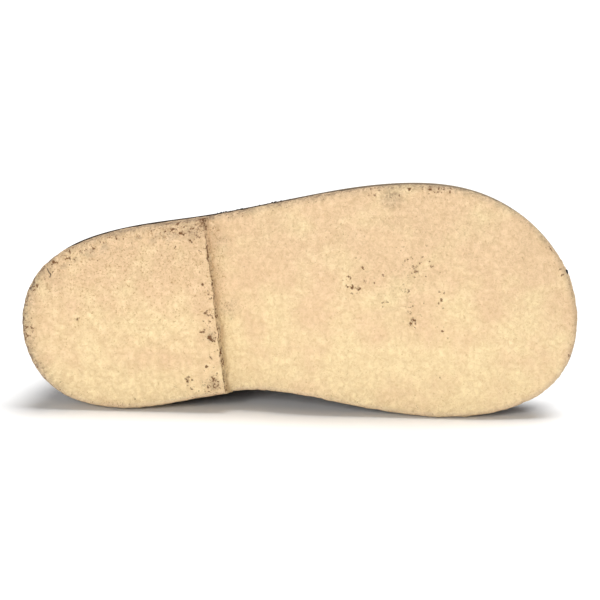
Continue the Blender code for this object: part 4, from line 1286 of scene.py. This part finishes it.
def make_lint(thread):
    """A hair on the heel's tread, lumps of lint along the lateral edge where the outsole meets the
    flange, that is flattened balls at seeded places, and one crumb at the toe."""
    hair = smooth_path(np.array([(x * MM, y * MM, -0.14 * MM) for x, y in HAIR]), 0.15 * MM)
    tube = swept(hair, HAIR_RADIUS, BALL_AROUND)
    dice = np.random.default_rng(77)
    share, side = OUTLINE.sides[-1]
    x = dice.uniform(*LINT_SPAN, LINT_COUNT) * MM
    rising = slice(OUTLINE_SAMPLES // 2)
    plan = OUTLINE.inset(-np.interp(x, side[rising, 0], share[rising]), -FLANGE_OVERHANG)
    middle = on_bed(plan, dice.uniform(-0.9, 0.9, LINT_COUNT) * MM)
    size = dice.uniform(*LINT_SIZE, (LINT_COUNT, 1, 1, 3)) * MM
    toe = OUTLINE.inset(np.array([CRUMB_PLACE]), -0.2 * MM)
    middle[0] = np.append(toe[0], underside(toe[0, 0]) + 1.6 * MM)
    size[0] = np.array(CRUMB_RADII) * MM
    turn, tilt = turns(BALL_AROUND)[None, :], np.linspace(0.0, np.pi, BALL_RINGS)[:, None]
    ball = [np.sin(tilt) * np.cos(turn), np.sin(tilt) * np.sin(turn), np.cos(tilt) + 0.0 * turn]
    balls = middle[:, None, None] + np.stack(ball, axis=-1) * size
    quads = copies(cells(BALL_RINGS, BALL_AROUND, wrap=True), LINT_COUNT, BALL_RINGS * BALL_AROUND)
    points = np.concatenate([tube.reshape(-1, 3), balls.reshape(-1, 3)])
    tube_quads = cells(len(tube), BALL_AROUND, wrap=True)
    quads = np.concatenate([tube_quads, quads + len(tube) * BALL_AROUND])
    shape("caught_lint", points, quads, thread, sharp_deg=80.0)


# Floor, light and camera

FLOOR_REACH = 3.0
FLOOR_DROP = 0.02 * MM
SURROUND = 0.22
KEY_FROM = (0.30, 0.42, 1.55)
KEY_WIDTH = 45.0
KEY_ENERGY = 3.3
FILL_FROM = (-0.32, -1.40, 0.46)
FILL_SIZE = 0.40
FILL_ENERGY = 12.2

CAMERA_AZIMUTH = 8.0
CAMERA_ELEVATION = 11.0
CAMERA_ROLL = 0.465
CAMERA_DISTANCE = 0.9
FOCAL_PIXELS = 2847.6
CENTRE_PIXEL = (309.8, 280.6)
FRAME_PIXELS = 600.0
SENSOR_MM = 36.0


def make_floor():
    """A wide plain pale floor: a flat grid just under the shoe's lowest point."""
    paper = Finish("pale_paper_floor").surface(
        {"Base Color": "FCFCFC", "Roughness": 0.9, "Specular IOR Level": 0.1})
    side = np.linspace(-FLOOR_REACH, FLOOR_REACH, 7)
    x, y = np.meshgrid(side, side)
    points = np.stack([x, y, np.full(x.shape, CAD_BOX[0][2] - FLOOR_DROP)], axis=-1).reshape(-1, 3)
    mesh = mesh_of("floor", points, cells(*x.shape)[:, ::-1].tolist())
    mesh.materials.append(paper)
    floor = placed("floor", mesh)


def make_light():
    """Soft studio light: a dim white surround, a wide key high up behind the toe, so that shadows
    fall forward and towards the heel, and a softbox in front that fills the sole."""
    scene = bpy.context.scene
    scene.world = bpy.data.worlds.new("white_surround")
    scene.world.use_nodes = True
    surround = scene.world.node_tree.nodes["Background"].inputs
    surround["Color"].default_value = linear("FFFFFF")
    surround["Strength"].default_value = SURROUND
    key, fill = bpy.data.lights.new("key", "SUN"), bpy.data.lights.new("fill", "AREA")
    key.energy, key.angle = KEY_ENERGY, math.radians(KEY_WIDTH)
    fill.energy, fill.size = FILL_ENERGY, FILL_SIZE
    for lamp, place in ((key, KEY_FROM), (fill, FILL_FROM)):
        holder = placed(lamp.name, lamp)
        holder.location = place
        holder.rotation_euler = holder.location.to_track_quat("Z", "Y").to_euler()
    scene.view_settings.view_transform = "Standard"


def make_camera():
    """A long lens at the photo's angle to the sole. The box's centre falls on CENTRE_PIXEL."""
    turn, rise, roll = (math.radians(a) for a in (CAMERA_AZIMUTH, CAMERA_ELEVATION, CAMERA_ROLL))
    level = math.cos(rise)
    back = Vector((math.sin(turn) * level, -math.cos(turn) * level, math.sin(rise)))
    right = Vector((math.cos(turn), math.sin(turn), 0.0))
    up = back.cross(right)
    right, up = (right * math.cos(roll) - up * math.sin(roll),
                 right * math.sin(roll) + up * math.cos(roll))
    centre = (Vector(CAD_BOX[0]) + Vector(CAD_BOX[1])) / 2.0
    per_pixel = CAMERA_DISTANCE / FOCAL_PIXELS
    beside, below = (pixel - FRAME_PIXELS / 2.0 for pixel in CENTRE_PIXEL)
    lens = bpy.data.cameras.new("photo_lens")
    lens.sensor_width = SENSOR_MM
    lens.lens = SENSOR_MM * FOCAL_PIXELS / FRAME_PIXELS
    lens.clip_start = 0.01
    camera = placed("photo_camera", lens)
    camera.location = centre + (up * below - right * beside) * per_pixel + back * CAMERA_DISTANCE
    camera.rotation_euler = Matrix((right, up, back)).transposed().to_euler()
    bpy.context.scene.camera = camera


def main():
    """Makes every piece of the shoe, then what stands round it."""
    crepe, leather, lining = crepe_rubber(), oiled_leather(), lining_leather()
    make_outsole(crepe)
    make_heel(crepe)
    make_upper(leather, lining)
    make_tongue(leather)
    make_insole(lining)
    make_eyelets(antique_brass())
    make_lace(waxed_cotton("braided_cotton", "2A1D16", "463226", 0.30))
    make_lint(waxed_cotton("dark_lint", "0E0906", "1E140E", 0.20))
    make_all_stitches(waxed_cotton("waxed_thread", "3B2A1F", "5A4231", 0.22))
    make_floor()
    make_light()
    make_camera()


main()
